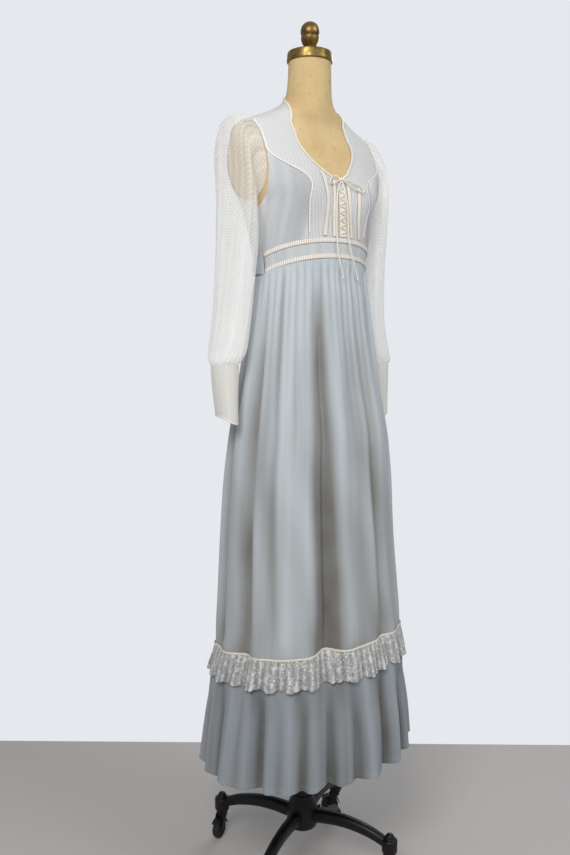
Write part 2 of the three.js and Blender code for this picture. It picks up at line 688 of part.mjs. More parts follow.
/** Ribbons, placket and criss-cross lacing down the front. */
function buildFront() {
  const low = trimLow + FRONT_STEP;
  for (const { name, route } of FRONT_RIBBONS) {
    const path = route.map(([x, z]) => [sign(x) * angleAt(abs(x), z), z]);
    add(name, trim(path, FRONT_RIBBON_WIDTH, low, RIBBON), 'satin');
  }
  const { middle, half, low: bottom, high: top } = PLACKET;
  const place = (v, u) => {
    const x = middle + mix(-half, half, u);
    const z = mix(bottom, top, v);
    return [sign(x) * angleAt(abs(x), z), z];
  };
  add('placket', panel(6, 4, place, trimLow, trimLow + RIBBON), 'satin');
  const count = LACING_ROWS * 2;
  const zigzag = Array.from({ length: count }, (_, i) => {
    const z = mix(bottom + 5, top - 8, i / (count - 1));
    const x = middle + (i % 2 ? 1 : -1) * (half - 2.5);
    const p = onFront([x, z, trimLow + RIBBON + 0.5 + LACING_RADIUS]);
    return [p.x, p.y, p.z];
  });
  add('lacing', tube(zigzag, LACING_RADIUS, 5, (count - 1) * 2), 'satin');
}

/** Cord bow at the neckline with its two hanging ends. */
function buildCords() {
  const knotAt = onFront([KNOT.x, KNOT.z, KNOT.lift]);
  const knot = new THREE.SphereGeometry(KNOT.radius, 8, 6).scale(1.3, 0.9, 1);
  let bow = toManifold(knot.translate(knotAt.x, knotAt.y, knotAt.z));
  for (const loop of BOW_LOOPS) {
    const points = loop.map(onFront).map((p) => [p.x, p.y, p.z]);
    bow = bow.add(toManifold(tube(points, CORD_RADIUS, 5, 13)));
  }
  add('lace_bow', fromManifold(bow), 'satin');
  for (const { name, route } of CORD_TAILS) {
    const points = route.map(onFront).map((p) => [p.x, p.y, p.z]);
    add(name, tube(points, CORD_RADIUS, 8, 15), 'satin');
  }
}

// Waistband, ties and zip

/** Band round the waist between two angles, from two edge heights and two lifts. */
function band(from, to, lowEdge, highEdge, low, high) {
  return panel(2, BAND_STEPS, (v, u) => {
    const angle = mix(from, to, u);
    return [angle, mix(lowEdge(angle), highEdge(angle), v)];
  }, low, high);
}

function buildWaistband() {
  const front = (lowEdge, highEdge, low, high) => band(-BAND_END, BAND_END, lowEdge, highEdge, low, high);
  add('waistband_front', front(waistLow, waistTop, EASE, outerLift), 'voile');
  const upper = (angle) => waistTop(angle) - RIBBON_WIDTH;
  const lower = (angle) => waistLow(angle) + RIBBON_WIDTH;
  const edge = (angle) => waistLow(angle) + 2 * SEAM;
  add('band_ribbon_upper', front(upper, waistTop, trimLow, trimLow + RIBBON), 'satin');
  add('band_ribbon_lower', front(edge, lower, trimLow, trimLow + RIBBON), 'satin');
  for (const { side, dir } of SIDES) {
    const back = band(dir * (BAND_END + 0.2), dir * 179.8, waistLow, waistTop, EASE, outerLift);
    add(`waistband_back_${side}`, back, 'voile');
  }
}

/** Ties over the back waistband, drawn in to a knot, and the two ends that hang from it. */
function buildTies() {
  const low = (angle) => waistLow(angle) + column(TIE_RUN, 'low', abs(angle));
  const high = (angle) => waistTop(angle) - column(TIE_RUN, 'high', abs(angle));
  for (const { side, dir } of SIDES) {
    const start = dir * TIE_RUN[0].z;
    const end = dir * TIE_RUN[TIE_RUN.length - 1].z;
    const lift = trimLow + RIBBON + SEAM;
    add(`tie_${side}`, band(start, end, low, high, lift, lift + TIE_THICK), 'voile');
  }
  const { y, z, wide, deep, high: tall } = TIE_KNOT;
  const knot = new THREE.SphereGeometry(1, 12, 8).scale(wide, deep, tall).translate(0, y, z);
  add('tie_knot', clean(knot), 'voile');
  for (const { name, dir, route } of TIE_ENDS) {
    const outer = route.map(([x, height], r) => [-0.5, 0, 0.5].map((across) => {
      const at = dir * x + across * TIE_END_WIDTHS[r];
      const out = max(backOut(at, height), backOut(0, height)) + TIE_END_LIFT + (r === 0 ? 6 : 0);
      return vec(at, out + (across === 0 ? 1.2 : 0), height);
    }));
    const inner = outer.map((line) => line.map((p) => vec(p.x, p.y - CLOTH, p.z)));
    add(name, wall(outer, inner, false), 'voile');
  }
}

/** How far back the dress reaches at a distance from the middle and a height. */
function backOut(x, z) {
  const edge = waistLow(180) - SEAM;
  if (z > edge + 3) {
    return onForm(180 - sign(x) * angleAt(abs(x), z), z, outerLift).y;
  }
  const level = min(z, edge);
  const half = column(SKIRT_SECTIONS, 'half', level);
  const angle = 180 - asin(x / half) / DEG;
  const t = (edge - level) / (edge - laceSeam(angle));
  return skirtPoint(angle, level, skirtDepth(angle, t) - gather(angle, t) * min(t * 30, 1)).y;
}

/** Zip tape down the middle of the back, its slider and the slider's hinged pull tab. */
function buildZip() {
  const yokeRows = BACK_YOKE_ROWS.slice(0, -1);
  const heights = [ZIP_LOW, ZIP_BEND - 3, ZIP_BEND + 3, ...BACK_ROWS, ...yokeRows, ZIP_TOP];
  const outer = heights.map((z) => [-0.5, 0, 0.5].map((across) => {
    const x = across * ZIP_WIDTH;
    return vec(x, backOut(x, z) + 1 + RIBBON, z);
  }));
  const inner = outer.map((line) => line.map((p) => vec(p.x, p.y - RIBBON, p.z)));
  add('zip_tape', wall(outer, inner, false), 'zip');
  const { z, lean, wide, long, body, bailWide, bailTop } = SLIDER;
  const box = (w, d, h, y, up) => toManifold(new THREE.BoxGeometry(w, d, h).translate(0, y, up));
  const seat = (geometry) => geometry.rotateX(lean * DEG).translate(0, backOut(0, z) + RIBBON + 1.2, z);
  const bail = box(bailWide, bailTop - 1, 6.8, (bailTop + 1) / 2, 0).subtract(box(4, 2.45, 4.4, 3.975, 0));
  add('zip_slider', seat(fromManifold(box(wide, body, long, 0.35 + body / 2, 0).add(bail))), 'iron');
  const { axisOut, axisUp, bar, wide: tab, hole, neck, long: length, hang } = PULL;
  const plate = box(tab, bar, length + bar / 2, 0, bar / 2 - (length + bar / 2) / 2);
  const window = box(hole, 4, neck - bar / 2, 0, -(neck + bar / 2) / 2);
  const pull = fromManifold(plate.subtract(window)).rotateX(hang * DEG).translate(0, axisOut, axisUp);
  add('zip_pull', seat(pull), 'iron');
}

// Skirt

/** Sum of the hollows of a table at an angle, from their high depth to their low depth. */
function hollow(table, angle, level) {
  return table.reduce((sum, row) => {
    const apart = ((((angle - row.at) % 360) + 540) % 360) - 180;
    return sum + mix(row.high, row.low, level) * exp(-((apart / row.wide) ** 2));
  }, 0);
}

/** Point of the skirt's outer surface over the fold tops, moved in by a depth. */
function skirtPoint(angle, z, depth) {
  const half = column(SKIRT_SECTIONS, 'half', z) - depth;
  const front = column(SKIRT_SECTIONS, 'front', z);
  const back = column(SKIRT_SECTIONS, 'back', z);
  const y = (back - front) / 2 - ((back + front) / 2 - depth) * cos(angle * DEG);
  return vec(half * sin(angle * DEG), y, z);
}

const skirtAngle = (c) => (c * 360) / SKIRT_STEPS - 180;
const laceSeam = (angle) => LACE_LEVEL + tilt(angle);
const hem = (angle) => HEM_LEVEL + tilt(angle);

/** Depth of the skirt's folds from its fold tops: none at the waist, full from a third down. */
function skirtDepth(angle, t) {
  const start = min(t / 0.3, 1);
  return hollow(SKIRT_HOLLOWS, angle, min(t * 1.2, 1)) * start * (2 - start);
}

/** Small gathers that fade out below the waistband and stop at the zip. */
function gather(angle, t) {
  const zip = 1 - exp(-(((180 - abs(angle)) / 9) ** 4));
  const uneven = (1 + 0.35 * sin(angle * 5 * DEG)) * zip;
  return GATHER_DEPTH * uneven * (0.5 - 0.5 * cos(angle * GATHERS * DEG)) * exp(-t * 9);
}

function buildSkirt() {
  const outer = grid(SKIRT_ROWS + 1, SKIRT_STEPS, (v, c) => {
    const angle = skirtAngle(c);
    const t = v ** 1.35;
    const z = mix(waistLow(angle) - SEAM, laceSeam(angle) + SEAM / 2, t);
    return skirtPoint(angle, z, skirtDepth(angle, t) - gather(angle, t) * min(t * 30, 1));
  });
  add('skirt', wall(outer, offset(outer, CLOTH, true), true), 'voile');
}

/** Point of the flounce's outer surface: t is 0 at its seam and 1 at the hem. */
function flouncePoint(angle, t) {
  const z = mix(laceSeam(angle) - SEAM / 2, hem(angle), t);
  const above = skirtDepth(angle, 1) * (1 - t) ** 1.5;
  const own = hollow(FLOUNCE_HOLLOWS, angle, t) * min(t * 3, 1);
  return skirtPoint(angle, z, above + own - 3 * sin(PI * min(t * 2.2, 1)));
}

function buildFlounce() {
  const outer = grid(FLOUNCE_ROWS + 1, SKIRT_STEPS, (v, c) => flouncePoint(skirtAngle(c), v));
  add('flounce', wall(outer, offset(outer, CLOTH, true), true), 'voile');
}

/** Gathered lace over the flounce's seam, with a scalloped lower edge. */
function buildLace() {
  const rows = [
    { drop: -4, out: 0.5, wave: 0.4 },
    { drop: 7, out: 0.9, wave: 1.5 },
    { drop: LACE_DROP, out: 2.6, wave: 7 },
  ];
  const outer = grid(rows.length, SKIRT_STEPS, (_, c, r) => {
    const angle = skirtAngle(c);
    const { drop, out, wave } = rows[r];
    const z = laceSeam(angle) - drop;
    const t = max(drop, 0) / (LACE_LEVEL - HEM_LEVEL);
    const under = drop < 0 ? skirtPoint(angle, z, skirtDepth(angle, 1)) : flouncePoint(angle, t);
    const ripple = 0.5 + 0.5 * cos(c * LACE_WAVES * 2 * PI / SKIRT_STEPS);
    const lift = out + NET + wave * ripple;
    const scallop = r === rows.length - 1 ? 4 * ripple : 0;
    return vec(under.x + lift * sin(angle * DEG), under.y - lift * cos(angle * DEG), under.z - scallop);
  });
  const inner = outer.map((line) => line.map((p, c) => {
    const angle = skirtAngle(c);
    return vec(p.x - NET * sin(angle * DEG), p.y + NET * cos(angle * DEG), p.z);
  }));
  add('lace_ruffle', wall(outer, inner, true), 'lace');
}

// Sleeves

/** Point of the armhole edge on the form, t turning from the shoulder through the front. */
function armholePoint(t, out) {
  const z = mix(UNDERARM + 0.5, SHOULDER - 0.5, 0.5 + 0.5 * cos(t));
  const half = column(FORM_SECTIONS, 'half', z);
  const flat = column(FORM_SECTIONS, 'flat', z);
  const front = column(FORM_SECTIONS, 'front', z);
  const back = column(FORM_SECTIONS, 'back', z);
  const room = max(1 - (ARMHOLE / half) ** flat, 0) ** (1 / flat);
  const reach = (back + front) / 2 * room * (sin(t) > 0 ? -1 : 1);
  return vec(out, (back - front) / 2 + reach, z);
}

function buildSleeves() {
  for (const { side, dir } of SIDES) {
    const start = ARMHOLE + outerLift + 0.6;
    const outer = grid(SLEEVE_RINGS.length + 1, SLEEVE_STEPS, (v, c, r) => {
      const t = (c / SLEEVE_STEPS) * 2 * PI;
      const edge = armholePoint(t, start);
      if (r === 0) return vec(dir * edge.x, edge.y, edge.z);
      const ring = SLEEVE_RINGS[r - 1];
      const settle = min(r / 5, 1);
      const fold = SLEEVE_FOLD_DEPTH * settle * cos(SLEEVE_FOLDS * t + r * 0.25) * (r > 9 ? 0.3 : 1);
      const reach = (ring.topOut - ring.lowOut) / 2 - abs(fold) / 2;
      const x = (ring.topOut + ring.lowOut) / 2 + reach * cos(t);
      const z = (ring.topZ + ring.lowZ) / 2 + (ring.topZ - ring.lowZ) / 2 * cos(t);
      const y = ring.mid - (ring.across + fold) * sin(t);
      const blend = min(r / 3, 1);
      const bow = mix(edge.y, y, blend);
      return vec(dir * x, bow, z);
    });
    const turn = dir < 0 ? outer : outer.map((line) => [line[0], ...line.slice(1).reverse()]);
    add(`sleeve_${side}`, wall(turn, offset(turn, NET, true), true), 'net');
  }
}

/** Deep dotted cuff with a dipped lower edge, and the satin edge under it. */
function buildCuffs() {
  const last = CUFF_RINGS[CUFF_RINGS.length - 1];
  for (const { side, dir } of SIDES) {
    const place = (row, c, low) => {
      const t = (c / CUFF_STEPS) * 2 * PI;
      const dip = CUFF_POINT * (0.5 + 0.5 * cos(t - CUFF_POINT_ANGLE * DEG)) ** 2;
      const share = (CUFF_RINGS[0].z - row.z) / (CUFF_RINGS[0].z - last.z);
      const x = dir * (row.out - row.half * sin(t));
      return vec(x, row.mid - row.across * cos(t), row.z - dip * share ** 2 - low);
    };
    const ring = (row, low) => Array.from({ length: CUFF_STEPS }, (_, c) => place(row, c, low));
    const turn = (lines) => (dir < 0 ? lines : lines.map((line) => [line[0], ...line.slice(1).reverse()]));
    const outer = turn(CUFF_RINGS.map((row) => ring(row, 0)));
    add(`cuff_${side}`, wall(outer, offset(outer, NET, true), true), 'net');
    const edge = turn([SEAM, CUFF_EDGE].map((low) => ring(last, low)));
    add(`cuff_edge_${side}`, wall(edge, offset(edge, RIBBON, true), true), 'satin');
  }
}

// Stand

/** Hub, four arched legs with a boss and a domed nut at each end, and the pedal's ears. */
function buildBase() {
  const hub = [[0, 74], [30, 74], [35, 84], [35, 118], [28, 136], [24.5, 144], [24.5, 150], [0, 150]];
  let body = toManifold(turned(hub, 16));
  const rise = [[20, 100], [62, 106], [108, 106], [160, 96], [LEG_RADIUS - 2, 77]];
  const boss = [
    [0, BOSS_LOW], [15, BOSS_LOW], [17, 64], [17, 90], [11, 93], [9, 99], [5, 102.5], [0, 103.5],
  ];
  const wide = SWIVEL_RADIUS + 0.6;
  const deep = SWIVEL_TOP + 2;
  const socket = [[0, BOSS_LOW - 1], [wide, BOSS_LOW - 1], [wide, deep], [0, deep]];
  const sides = 8;
  for (let i = 0; i < LEGS; i += 1) {
    const rings = rise.map(([r, z], k) => {
      const width = mix(15, 11.5, k / (rise.length - 1));
      const height = mix(17, 12, k / (rise.length - 1));
      const next = rise[min(k + 1, rise.length - 1)];
      const past = rise[max(k - 1, 0)];
      const run = hypot(next[0] - past[0], next[1] - past[1]);
      const lean = [-(next[1] - past[1]) / run, (next[0] - past[0]) / run];
      return Array.from({ length: sides }, (_, j) => {
        const t = ((j + 0.5) / sides) * 2 * PI;
        return vec(r + lean[0] * height * sin(t), width * cos(t), z + lean[1] * height * sin(t));
      });
    });
    const turn = (LEG_TURN + (i * 360) / LEGS) * DEG;
    body = body.add(toManifold(loft(rings).rotateZ(turn)));
    body = body.add(toManifold(turned(boss, 10).translate(LEG_RADIUS, 0, 0).rotateZ(turn)));
    body = body.subtract(toManifold(turned(socket, 8).translate(LEG_RADIUS, 0, 0).rotateZ(turn)));
  }
  const { out, z } = PEDAL_AXIS;
  const place = (geometry) => toManifold(geometry.translate(out, 0, z).rotateZ(PEDAL_TURN * DEG));
  for (const dir of [-1, 1]) {
    const ear = new THREE.BoxGeometry(16, 3, 16).translate(-2, dir * (PEDAL_BARREL + RUN_GAP + 1.5), 0);
    body = body.add(place(ear));
  }
  body = body.add(place(new THREE.CylinderGeometry(PEDAL_PIN, PEDAL_PIN, 18, 12)));
  add('base', fromManifold(body), 'iron');
}

/** Sprung pedal on a pin between the hub's ears. */
function buildPedal() {
  const { out, z } = PEDAL_AXIS;
  const outline = [[0, -3], [24, -7], [46, -7], [46, -2], [26, -2], [0, 4]];
  const side = new THREE.Shape(outline.map(([x, y]) => new THREE.Vector2(x, y)));
  const depth = 11;
  const arm = new THREE.ExtrudeGeometry(side, { depth, bevelEnabled: false });
  arm.rotateX(PI / 2).translate(0, depth / 2, 0);
  const pad = new THREE.BoxGeometry(22, 28, 5).translate(36, 0, -4.5);
  const barrel = new THREE.CylinderGeometry(PEDAL_BARREL, PEDAL_BARREL, 2 * PEDAL_BARREL, 12);
  const bore = new THREE.CylinderGeometry(PEDAL_PIN + RUN_GAP, PEDAL_PIN + RUN_GAP, 20, 12);
  const lever = toManifold(arm).add(toManifold(pad)).add(toManifold(barrel));
  const body = lever.subtract(toManifold(bore));
  add('pedal', fromManifold(body).translate(out, 0, z).rotateZ(PEDAL_TURN * DEG), 'iron');
}

/** Swivelling fork and wheel at the end of each leg. */
function buildCasters() {
  const cheekShape = [[-9, 54.5], [10, 54.5], [20, 24], [19.5, 17], [14, 14.3], [8.5, 17], [7, 26]];
  const cheekFace = new THREE.Shape(cheekShape.map(([x, y]) => new THREE.Vector2(x, y)));
  const near = WHEEL_WIDTH / 2 + RUN_GAP;
  const top = [
    [0, 54], [13, 54], [13, FORK_TOP], [SWIVEL_RADIUS, FORK_TOP], [SWIVEL_RADIUS, SWIVEL_TOP],
    [0, SWIVEL_TOP],
  ];
  const half = WHEEL_WIDTH / 2;
  const bore = AXLE_RADIUS + RUN_GAP;
  const rim = [[bore, -half], [WHEEL_RADIUS, -half], [WHEEL_RADIUS, half], [bore, half], [bore, -half]];
  const facet = 360 / WHEEL_FACETS;
  for (let i = 0; i < LEGS; i += 1) {
    let fork = toManifold(turned(top, 10));
    for (const y of [near + CHEEK, -near]) {
      const cheek = new THREE.ExtrudeGeometry(cheekFace, { depth: CHEEK, bevelEnabled: false });
      fork = fork.add(toManifold(cheek.rotateX(PI / 2).translate(0, y, 0)));
    }
    const axle = new THREE.CylinderGeometry(AXLE_RADIUS, AXLE_RADIUS, 2 * (near + CHEEK), 10);
    fork = fork.add(toManifold(axle.translate(CASTER_TRAIL, 0, AXLE_HEIGHT)));
    const wheel = clean(turned(rim, WHEEL_FACETS)).rotateX(PI / 2).rotateY((facet / 2) * DEG);
    wheel.translate(CASTER_TRAIL, 0, AXLE_HEIGHT);
    const turn = (LEG_TURN + (i * 360) / LEGS) * DEG;
    const [x, y] = [LEG_RADIUS * cos(turn), LEG_RADIUS * sin(turn)];
    const place = (geometry) => geometry.rotateZ(CASTER_TURNS[i] * DEG).translate(x, y, 0);
    add(`caster_fork_${i + 1}`, place(fromManifold(fork)), 'iron');
    add(`caster_wheel_${i + 1}`, place(wheel), 'tyre');
  }
}

/** Column of the base and the form's rod that slides in it. */
function buildStem() {
  const bottom = COLUMN_LOW + 8;
  const pipe = [
    [0, COLUMN_LOW], [COLUMN_RADIUS, COLUMN_LOW], [COLUMN_RADIUS, COLUMN_TOP], [COLUMN_BORE, COLUMN_TOP],
    [COLUMN_BORE, bottom], [0, bottom],
  ];
  add('column', clean(turned(pipe, 20)), 'iron');
  const rodTop = FORM_LOW - 0.3;
  const rod = [[0, STEM_LOW], [STEM_RADIUS, STEM_LOW], [STEM_RADIUS, rodTop], [0, rodTop]];
  add('stem_rod', clean(turned(rod, 20)), 'iron');
}

buildTorso();
buildFinial();
buildFrontYokes();
buildBackYokes();
buildSideFronts();
buildBacks();
buildPipings();
buildFront();
buildCords();
buildWaistband();
buildSkirt();
buildFlounce();
buildLace();
buildTies();
buildZip();
buildSleeves();
buildCuffs();
buildBase();
buildStem();
buildPedal();
buildCasters();

export default group;
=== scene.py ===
"""Looks of a long prairie dress on a limbless dress form with a castered iron stand.

The dress faces -Y, the wearer's right side is at -X, and an angle round the body is 0 at the centre
front, +90 at the wearer's left and 180 at the centre back. Tables are in millimetres and degrees.
"""

import logging
import math
from dataclasses import dataclass
from enum import Enum
from typing import Callable, Sequence

import bpy
import numpy as np
from mathutils import Matrix, Vector


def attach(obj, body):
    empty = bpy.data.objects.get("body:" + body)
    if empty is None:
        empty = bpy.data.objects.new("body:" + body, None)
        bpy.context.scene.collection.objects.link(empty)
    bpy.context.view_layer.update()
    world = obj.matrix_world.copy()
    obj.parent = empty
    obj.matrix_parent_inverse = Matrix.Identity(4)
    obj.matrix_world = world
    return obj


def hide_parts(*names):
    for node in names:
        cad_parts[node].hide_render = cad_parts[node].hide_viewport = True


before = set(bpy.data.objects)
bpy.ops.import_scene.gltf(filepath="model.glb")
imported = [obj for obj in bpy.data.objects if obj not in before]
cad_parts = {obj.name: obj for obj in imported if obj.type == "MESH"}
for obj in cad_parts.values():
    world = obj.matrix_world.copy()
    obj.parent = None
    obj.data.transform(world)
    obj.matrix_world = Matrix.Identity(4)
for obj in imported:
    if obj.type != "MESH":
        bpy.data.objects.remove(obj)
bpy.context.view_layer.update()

LOG = logging.getLogger("dress")
MM = 0.001
Array = np.ndarray
Piece = bpy.types.Object
Socket = bpy.types.NodeSocket

# Cloth, as in the solids
CLOTH = 1.2
NET = 1.0
SEAM = 0.35
EASE = 0.5
OUTER_LIFT = EASE + CLOTH
TRIM_LIFT = OUTER_LIFT + 0.5
FRONT_LIFT = TRIM_LIFT + 1.2

# Waistband
WAIST_SIDE = 1334
WAIST_FRONT_RISE = 35
WAIST_BACK_DROP = 10
WAISTBAND = 41
RIBBON_WIDTH = 9
BAND_END = 84

# Skirt
LACE_LEVEL = 534
HEM_LEVEL = 270
HEM_TILT = 20
TILT_ANGLE = 50
GATHERS = 30
GATHER_DEPTH = 3
LACE_WAVES = 30

# Bodice
ARMHOLE = 150
UNDERARM = 1440
SHOULDER = 1603
YOKE_CORNER = 1531
BACK_YOKE = 1545
NECK_DIP = 1488
FRONT_YOKE_TOP = 1648
BACK_YOKE_TOP = 1671


class Table:
    """Rows of named columns, read on a smooth curve at any height."""

    def __init__(self, names: str, rows: Sequence[Sequence[float]]) -> None:
        """Keeps the rows in order of their first column.

        Args:
            names: the columns' names, the first of them the key
            rows: the rows' values
        """
        values = np.array(sorted(rows), float)
        self.key = values[:, 0]
        self.columns = {n: values[:, i] for i, n in enumerate(names.split())}

    def at(self, name: str, z: Array | float) -> Array:
        """Value of a column.

        Args:
            name: the column
            z: heights to read it at

        Returns:
            The values, one for each height.
        """
        key, values = self.key, self.columns[name]
        slopes = np.diff(values) / np.diff(key)
        tangents = np.concatenate([slopes[:1], (slopes[:-1] + slopes[1:]) / 2, slopes[-1:]])
        height = np.clip(z, key[0], key[-1])
        i = np.clip(np.searchsorted(key, height, side="right") - 1, 0, len(key) - 2)
        step = key[i + 1] - key[i]
        t = (height - key[i]) / step
        chord = values[i] * (1 - t) + values[i + 1] * t
        low, high = tangents[i] - slopes[i], tangents[i + 1] - slopes[i]
        return chord + (1 - t) * t * step * (low * (1 - t) - high * t)


FORM = Table("z half front back flat", [
    (1737, 45, 45, 45, 2.0), (1700, 46, 46, 47, 2.0), (1672, 48, 47, 52, 2.0), (1652, 56, 47, 60, 2.0),
    (1636, 76, 46, 72, 2.1), (1622, 104, 45, 82, 2.2), (1610, 134, 44, 90, 2.2),
    (1598, 162, 46, 96, 2.3), (1575, 184, 55, 102, 2.3), (1545, 192, 68, 107, 2.4),
    (1510, 186, 82, 108, 2.5), (1475, 170, 93, 106, 2.4), (1440, 150, 99, 102, 2.3),
    (1400, 141, 102, 96, 2.2), (1350, 132, 103, 89, 2.1), (1300, 126, 104, 84, 2.0),
    (1210, 120, 98, 82, 2.0), (1110, 142, 104, 96, 2.0), (1010, 160, 114, 110, 2.0),
    (950, 156, 112, 106, 2.0), (905, 146, 104, 98, 2.0),
])
BUST = {"x": 82, "z": 1452, "spread": 44, "depth": 13}
NECKLINE = Table("z right left", [
    (1488, 0.6, 0.6), (1493, 3.6, 3.2), (1509, 9.6, 6.6), (1531, 15.6, 11.4), (1556, 20.4, 15.6),
    (1580, 22.4, 15.8), (1600, 27.0, 18.0), (1615, 35.5, 26.0), (1633, 56.0, 47.0), (1648, 84.0, 80.0),
    (1660, 110.0, 108.0), (1668, 136.0, 134.0), (1672, 172.0, 172.0),
])
YOKE_SEAM = Table("z out", [
    (1335, 75), (1372, 75), (1405, 78), (1437, 82), (1458, 79), (1474, 77), (1490, 89), (1505, 115),
    (1518, 137), (1531, 150),
])
SKIRT = Table("z half front back", [
    (1335, 131.5, 105.5, 89.5), (1300, 130, 107, 87), (1253, 139, 115, 87), (1202, 147, 122, 93),
    (1142, 156, 133, 106), (1069, 166, 146, 122), (972, 180, 168, 148), (908, 187, 174, 157),
    (789, 195, 184, 168), (687, 201, 194, 175), (567, 208, 207, 181), (508, 212, 213, 187),
    (456, 219, 221, 195), (364, 232, 234, 211), (250, 243, 243, 227),
])
SKIRT_HOLLOWS = [
    (-81, 8, 9, 22), (-62, 6, 9, 4), (-44, 5, 5, 2), (-26, 7.5, 15, 44), (-2, 14, 9, 10), (15, 6, 7, 14),
    (34, 6, 8, 5), (53, 7, 5, 15), (75, 7, 8, 6), (96, 7, 6, 24), (118, 7, 9, 7), (141, 8, 7, 30),
    (162, 7, 4, 6), (195, 8, 5, 26), (214, 6, 8, 6), (232, 8, 7, 24), (254, 7, 8, 9),
]
FLOUNCE_HOLLOWS = [
    (-113, 7, 2, 20), (-96, 6, 5, 16), (-80, 5, 2, 6), (-66, 6, 3, 26), (-54, 4, 3, 7), (-42, 5, 2, 18),
    (-27, 6, 2, 36), (-12, 7, 3, 22), (9, 6, 4, 26), (27, 6, 3, 24), (46, 7, 4, 20), (66, 6, 3, 14),
    (84, 7, 5, 26), (106, 6, 3, 14), (127, 8, 4, 28), (150, 6, 3, 18), (172, 7, 4, 24), (193, 6, 3, 16),
    (213, 7, 4, 27), (231, 6, 3, 18),
]

SLEEVE = Table("ring top_out top_z low_out low_z mid across", [
    (1, 170, 1610, 155, 1434, 31, 67), (2, 187, 1604, 156, 1425, 25, 67), (3, 199, 1584, 156, 1412, 19, 66),
    (4, 203, 1546, 155, 1394, 13, 66), (5, 202, 1492, 154, 1368, 10, 65), (6, 203, 1418, 152, 1328, 12, 64),
    (7, 208, 1325, 153, 1272, 15, 58), (8, 217, 1220, 157, 1195, 16, 52), (9, 233, 1146, 166, 1140, 11, 47),
    (10, 240, 1122, 177, 1121, 6, 38), (11, 239, 1112.5, 183, 1112.5, 4, 29),
])
CUFF = Table("z out half mid across", [
    (1112, 211, 28, 4, 29), (1085, 211, 27, 3, 28.5), (1050, 211, 24, 1, 28), (1014, 210, 21, -2, 27.5),
])
FRONT_RIBBONS = {
    "ribbon_outer_right": [(-41, 1372), (-39, 1405), (-36, 1440), (-39, 1480), (-43, 1497)],
    "ribbon_inner_right": [(-19, 1371), (-19, 1405), (-18, 1440), (-13, 1484)],
    "ribbon_inner_left": [(27, 1371), (24, 1405), (23, 1440), (23, 1486)],
    "ribbon_outer_left": [(52, 1371), (49, 1405), (48, 1440), (50, 1478)],
}
BOW_LOOPS = [
    [(0, 1485, 9), (-11, 1490, 9), (-24, 1485, 8.4), (-29, 1477, 7.4), (-21, 1474, 7.6), (-9, 1480, 9),
     (0, 1483, 9)],
    [(6, 1485, 9), (22, 1484, 9.4), (42, 1479, 9), (58, 1471, 7.4), (55, 1464, 7.4), (36, 1470, 8.6),
     (18, 1478, 9), (6, 1483, 9)],
]
CORD_TAILS = {
    "lace_tail_right": [(1.2, 1480.2, 9), (-5, 1470, 7.4), (-13, 1450, 6.9), (-16, 1415, 6.9),
                        (-15, 1375, 7.2), (-12, 1340, 8), (-7, 1312, 9.5), (-2, 1290, 12)],
    "lace_tail_left": [(4.4, 1480.7, 9), (8, 1468, 8.4), (12, 1440, 8.6), (14, 1405, 8), (16, 1372, 7.8),
                       (24, 1338, 8), (33, 1312, 9.5), (39, 1290, 12)],
}
TIE_RUN = Table("angle low high", [(84.7, 0, 0), (98, 5, 9), (116, 8, 17), (145, 9, 18), (176.5, 9, 18)])
TIE_ENDS = {
    "tie_end_right": (-1, [
        (6, 1284.8), (9, 1260), (13, 1215), (16, 1150), (18, 1085), (21, 1020), (23, 975)]),
    "tie_end_left": (1, [
        (7, 1284.8), (10, 1258), (15, 1210), (19, 1145), (23, 1080), (27, 1015), (28, 960)]),
}
TIE_END_WIDTHS = [9, 13, 18, 22, 25, 28, 30]


# Surfaces shared by the form and the dress

def cosd(angle: Array | float) -> Array:
    """Cosine of degrees."""
    return np.cos(np.radians(angle))


def sind(angle: Array | float) -> Array:
    """Sine of degrees."""
    return np.sin(np.radians(angle))


def mix(a: Array | float, b: Array | float, t: Array | float) -> Array:
    """Value between a and b."""
    return a + (b - a) * t


def power(value: Array, exponent: Array | float) -> Array:
    """Signed power."""
    return np.sign(value) * np.abs(value) ** exponent


def form_point(angle: Array, z: Array) -> Array:
    """Points of the form's measured surface, before the armhole planes cut it.

    Args:
        angle: angles round the body
        z: heights

    Returns:
        The points, along a last axis of three.
    """
    angle, z = np.broadcast_arrays(np.asarray(angle, float), np.asarray(z, float))
    half, front, back = FORM.at("half", z), FORM.at("front", z), FORM.at("back", z)
    bend = 2 / FORM.at("flat", z)
    x = half * power(sind(angle), bend)
    facing = cosd(angle)
    y = (back - front) / 2 - (back + front) / 2 * power(facing, bend)
    reach = ((np.abs(x) - BUST["x"]) / BUST["spread"]) ** 2 + ((z - BUST["z"]) / BUST["spread"]) ** 2
    y = y - BUST["depth"] * np.exp(-reach) * np.maximum(facing, 0) ** 0.5
    return np.stack([x, y, z], -1)


def on_form(angle: Array, z: Array, lift: Array | float) -> Array:
    """Points that stand off the form's surface.

    Args:
        angle: angles round the body
        z: heights
        lift: distance from the surface

    Returns:
        The points, along a last axis of three.
    """
    around = form_point(angle + 0.6, z) - form_point(angle - 0.6, z)
    up = form_point(angle, z + 2) - form_point(angle, z - 2)
    normal = np.cross(around, up)
    normal /= np.linalg.norm(normal, axis=-1, keepdims=True)
    return form_point(angle, z) + normal * np.asarray(lift)[..., None]


def angle_at(out: Array | float, z: Array) -> Array:
    """Angle at which the form's section reaches a distance from the middle."""
    half, flat = FORM.at("half", z), FORM.at("flat", z)
    inside = np.minimum(out / half, 1)
    return np.degrees(np.arcsin(inside ** (flat / 2)))


def on_front(x: Array, z: Array, lift: Array | float) -> Array:
    """Points on the front of the form, by their distance from the middle."""
    x, z = np.asarray(x, float), np.asarray(z, float)
    return on_form(np.sign(x) * angle_at(np.abs(x), z), z, lift)


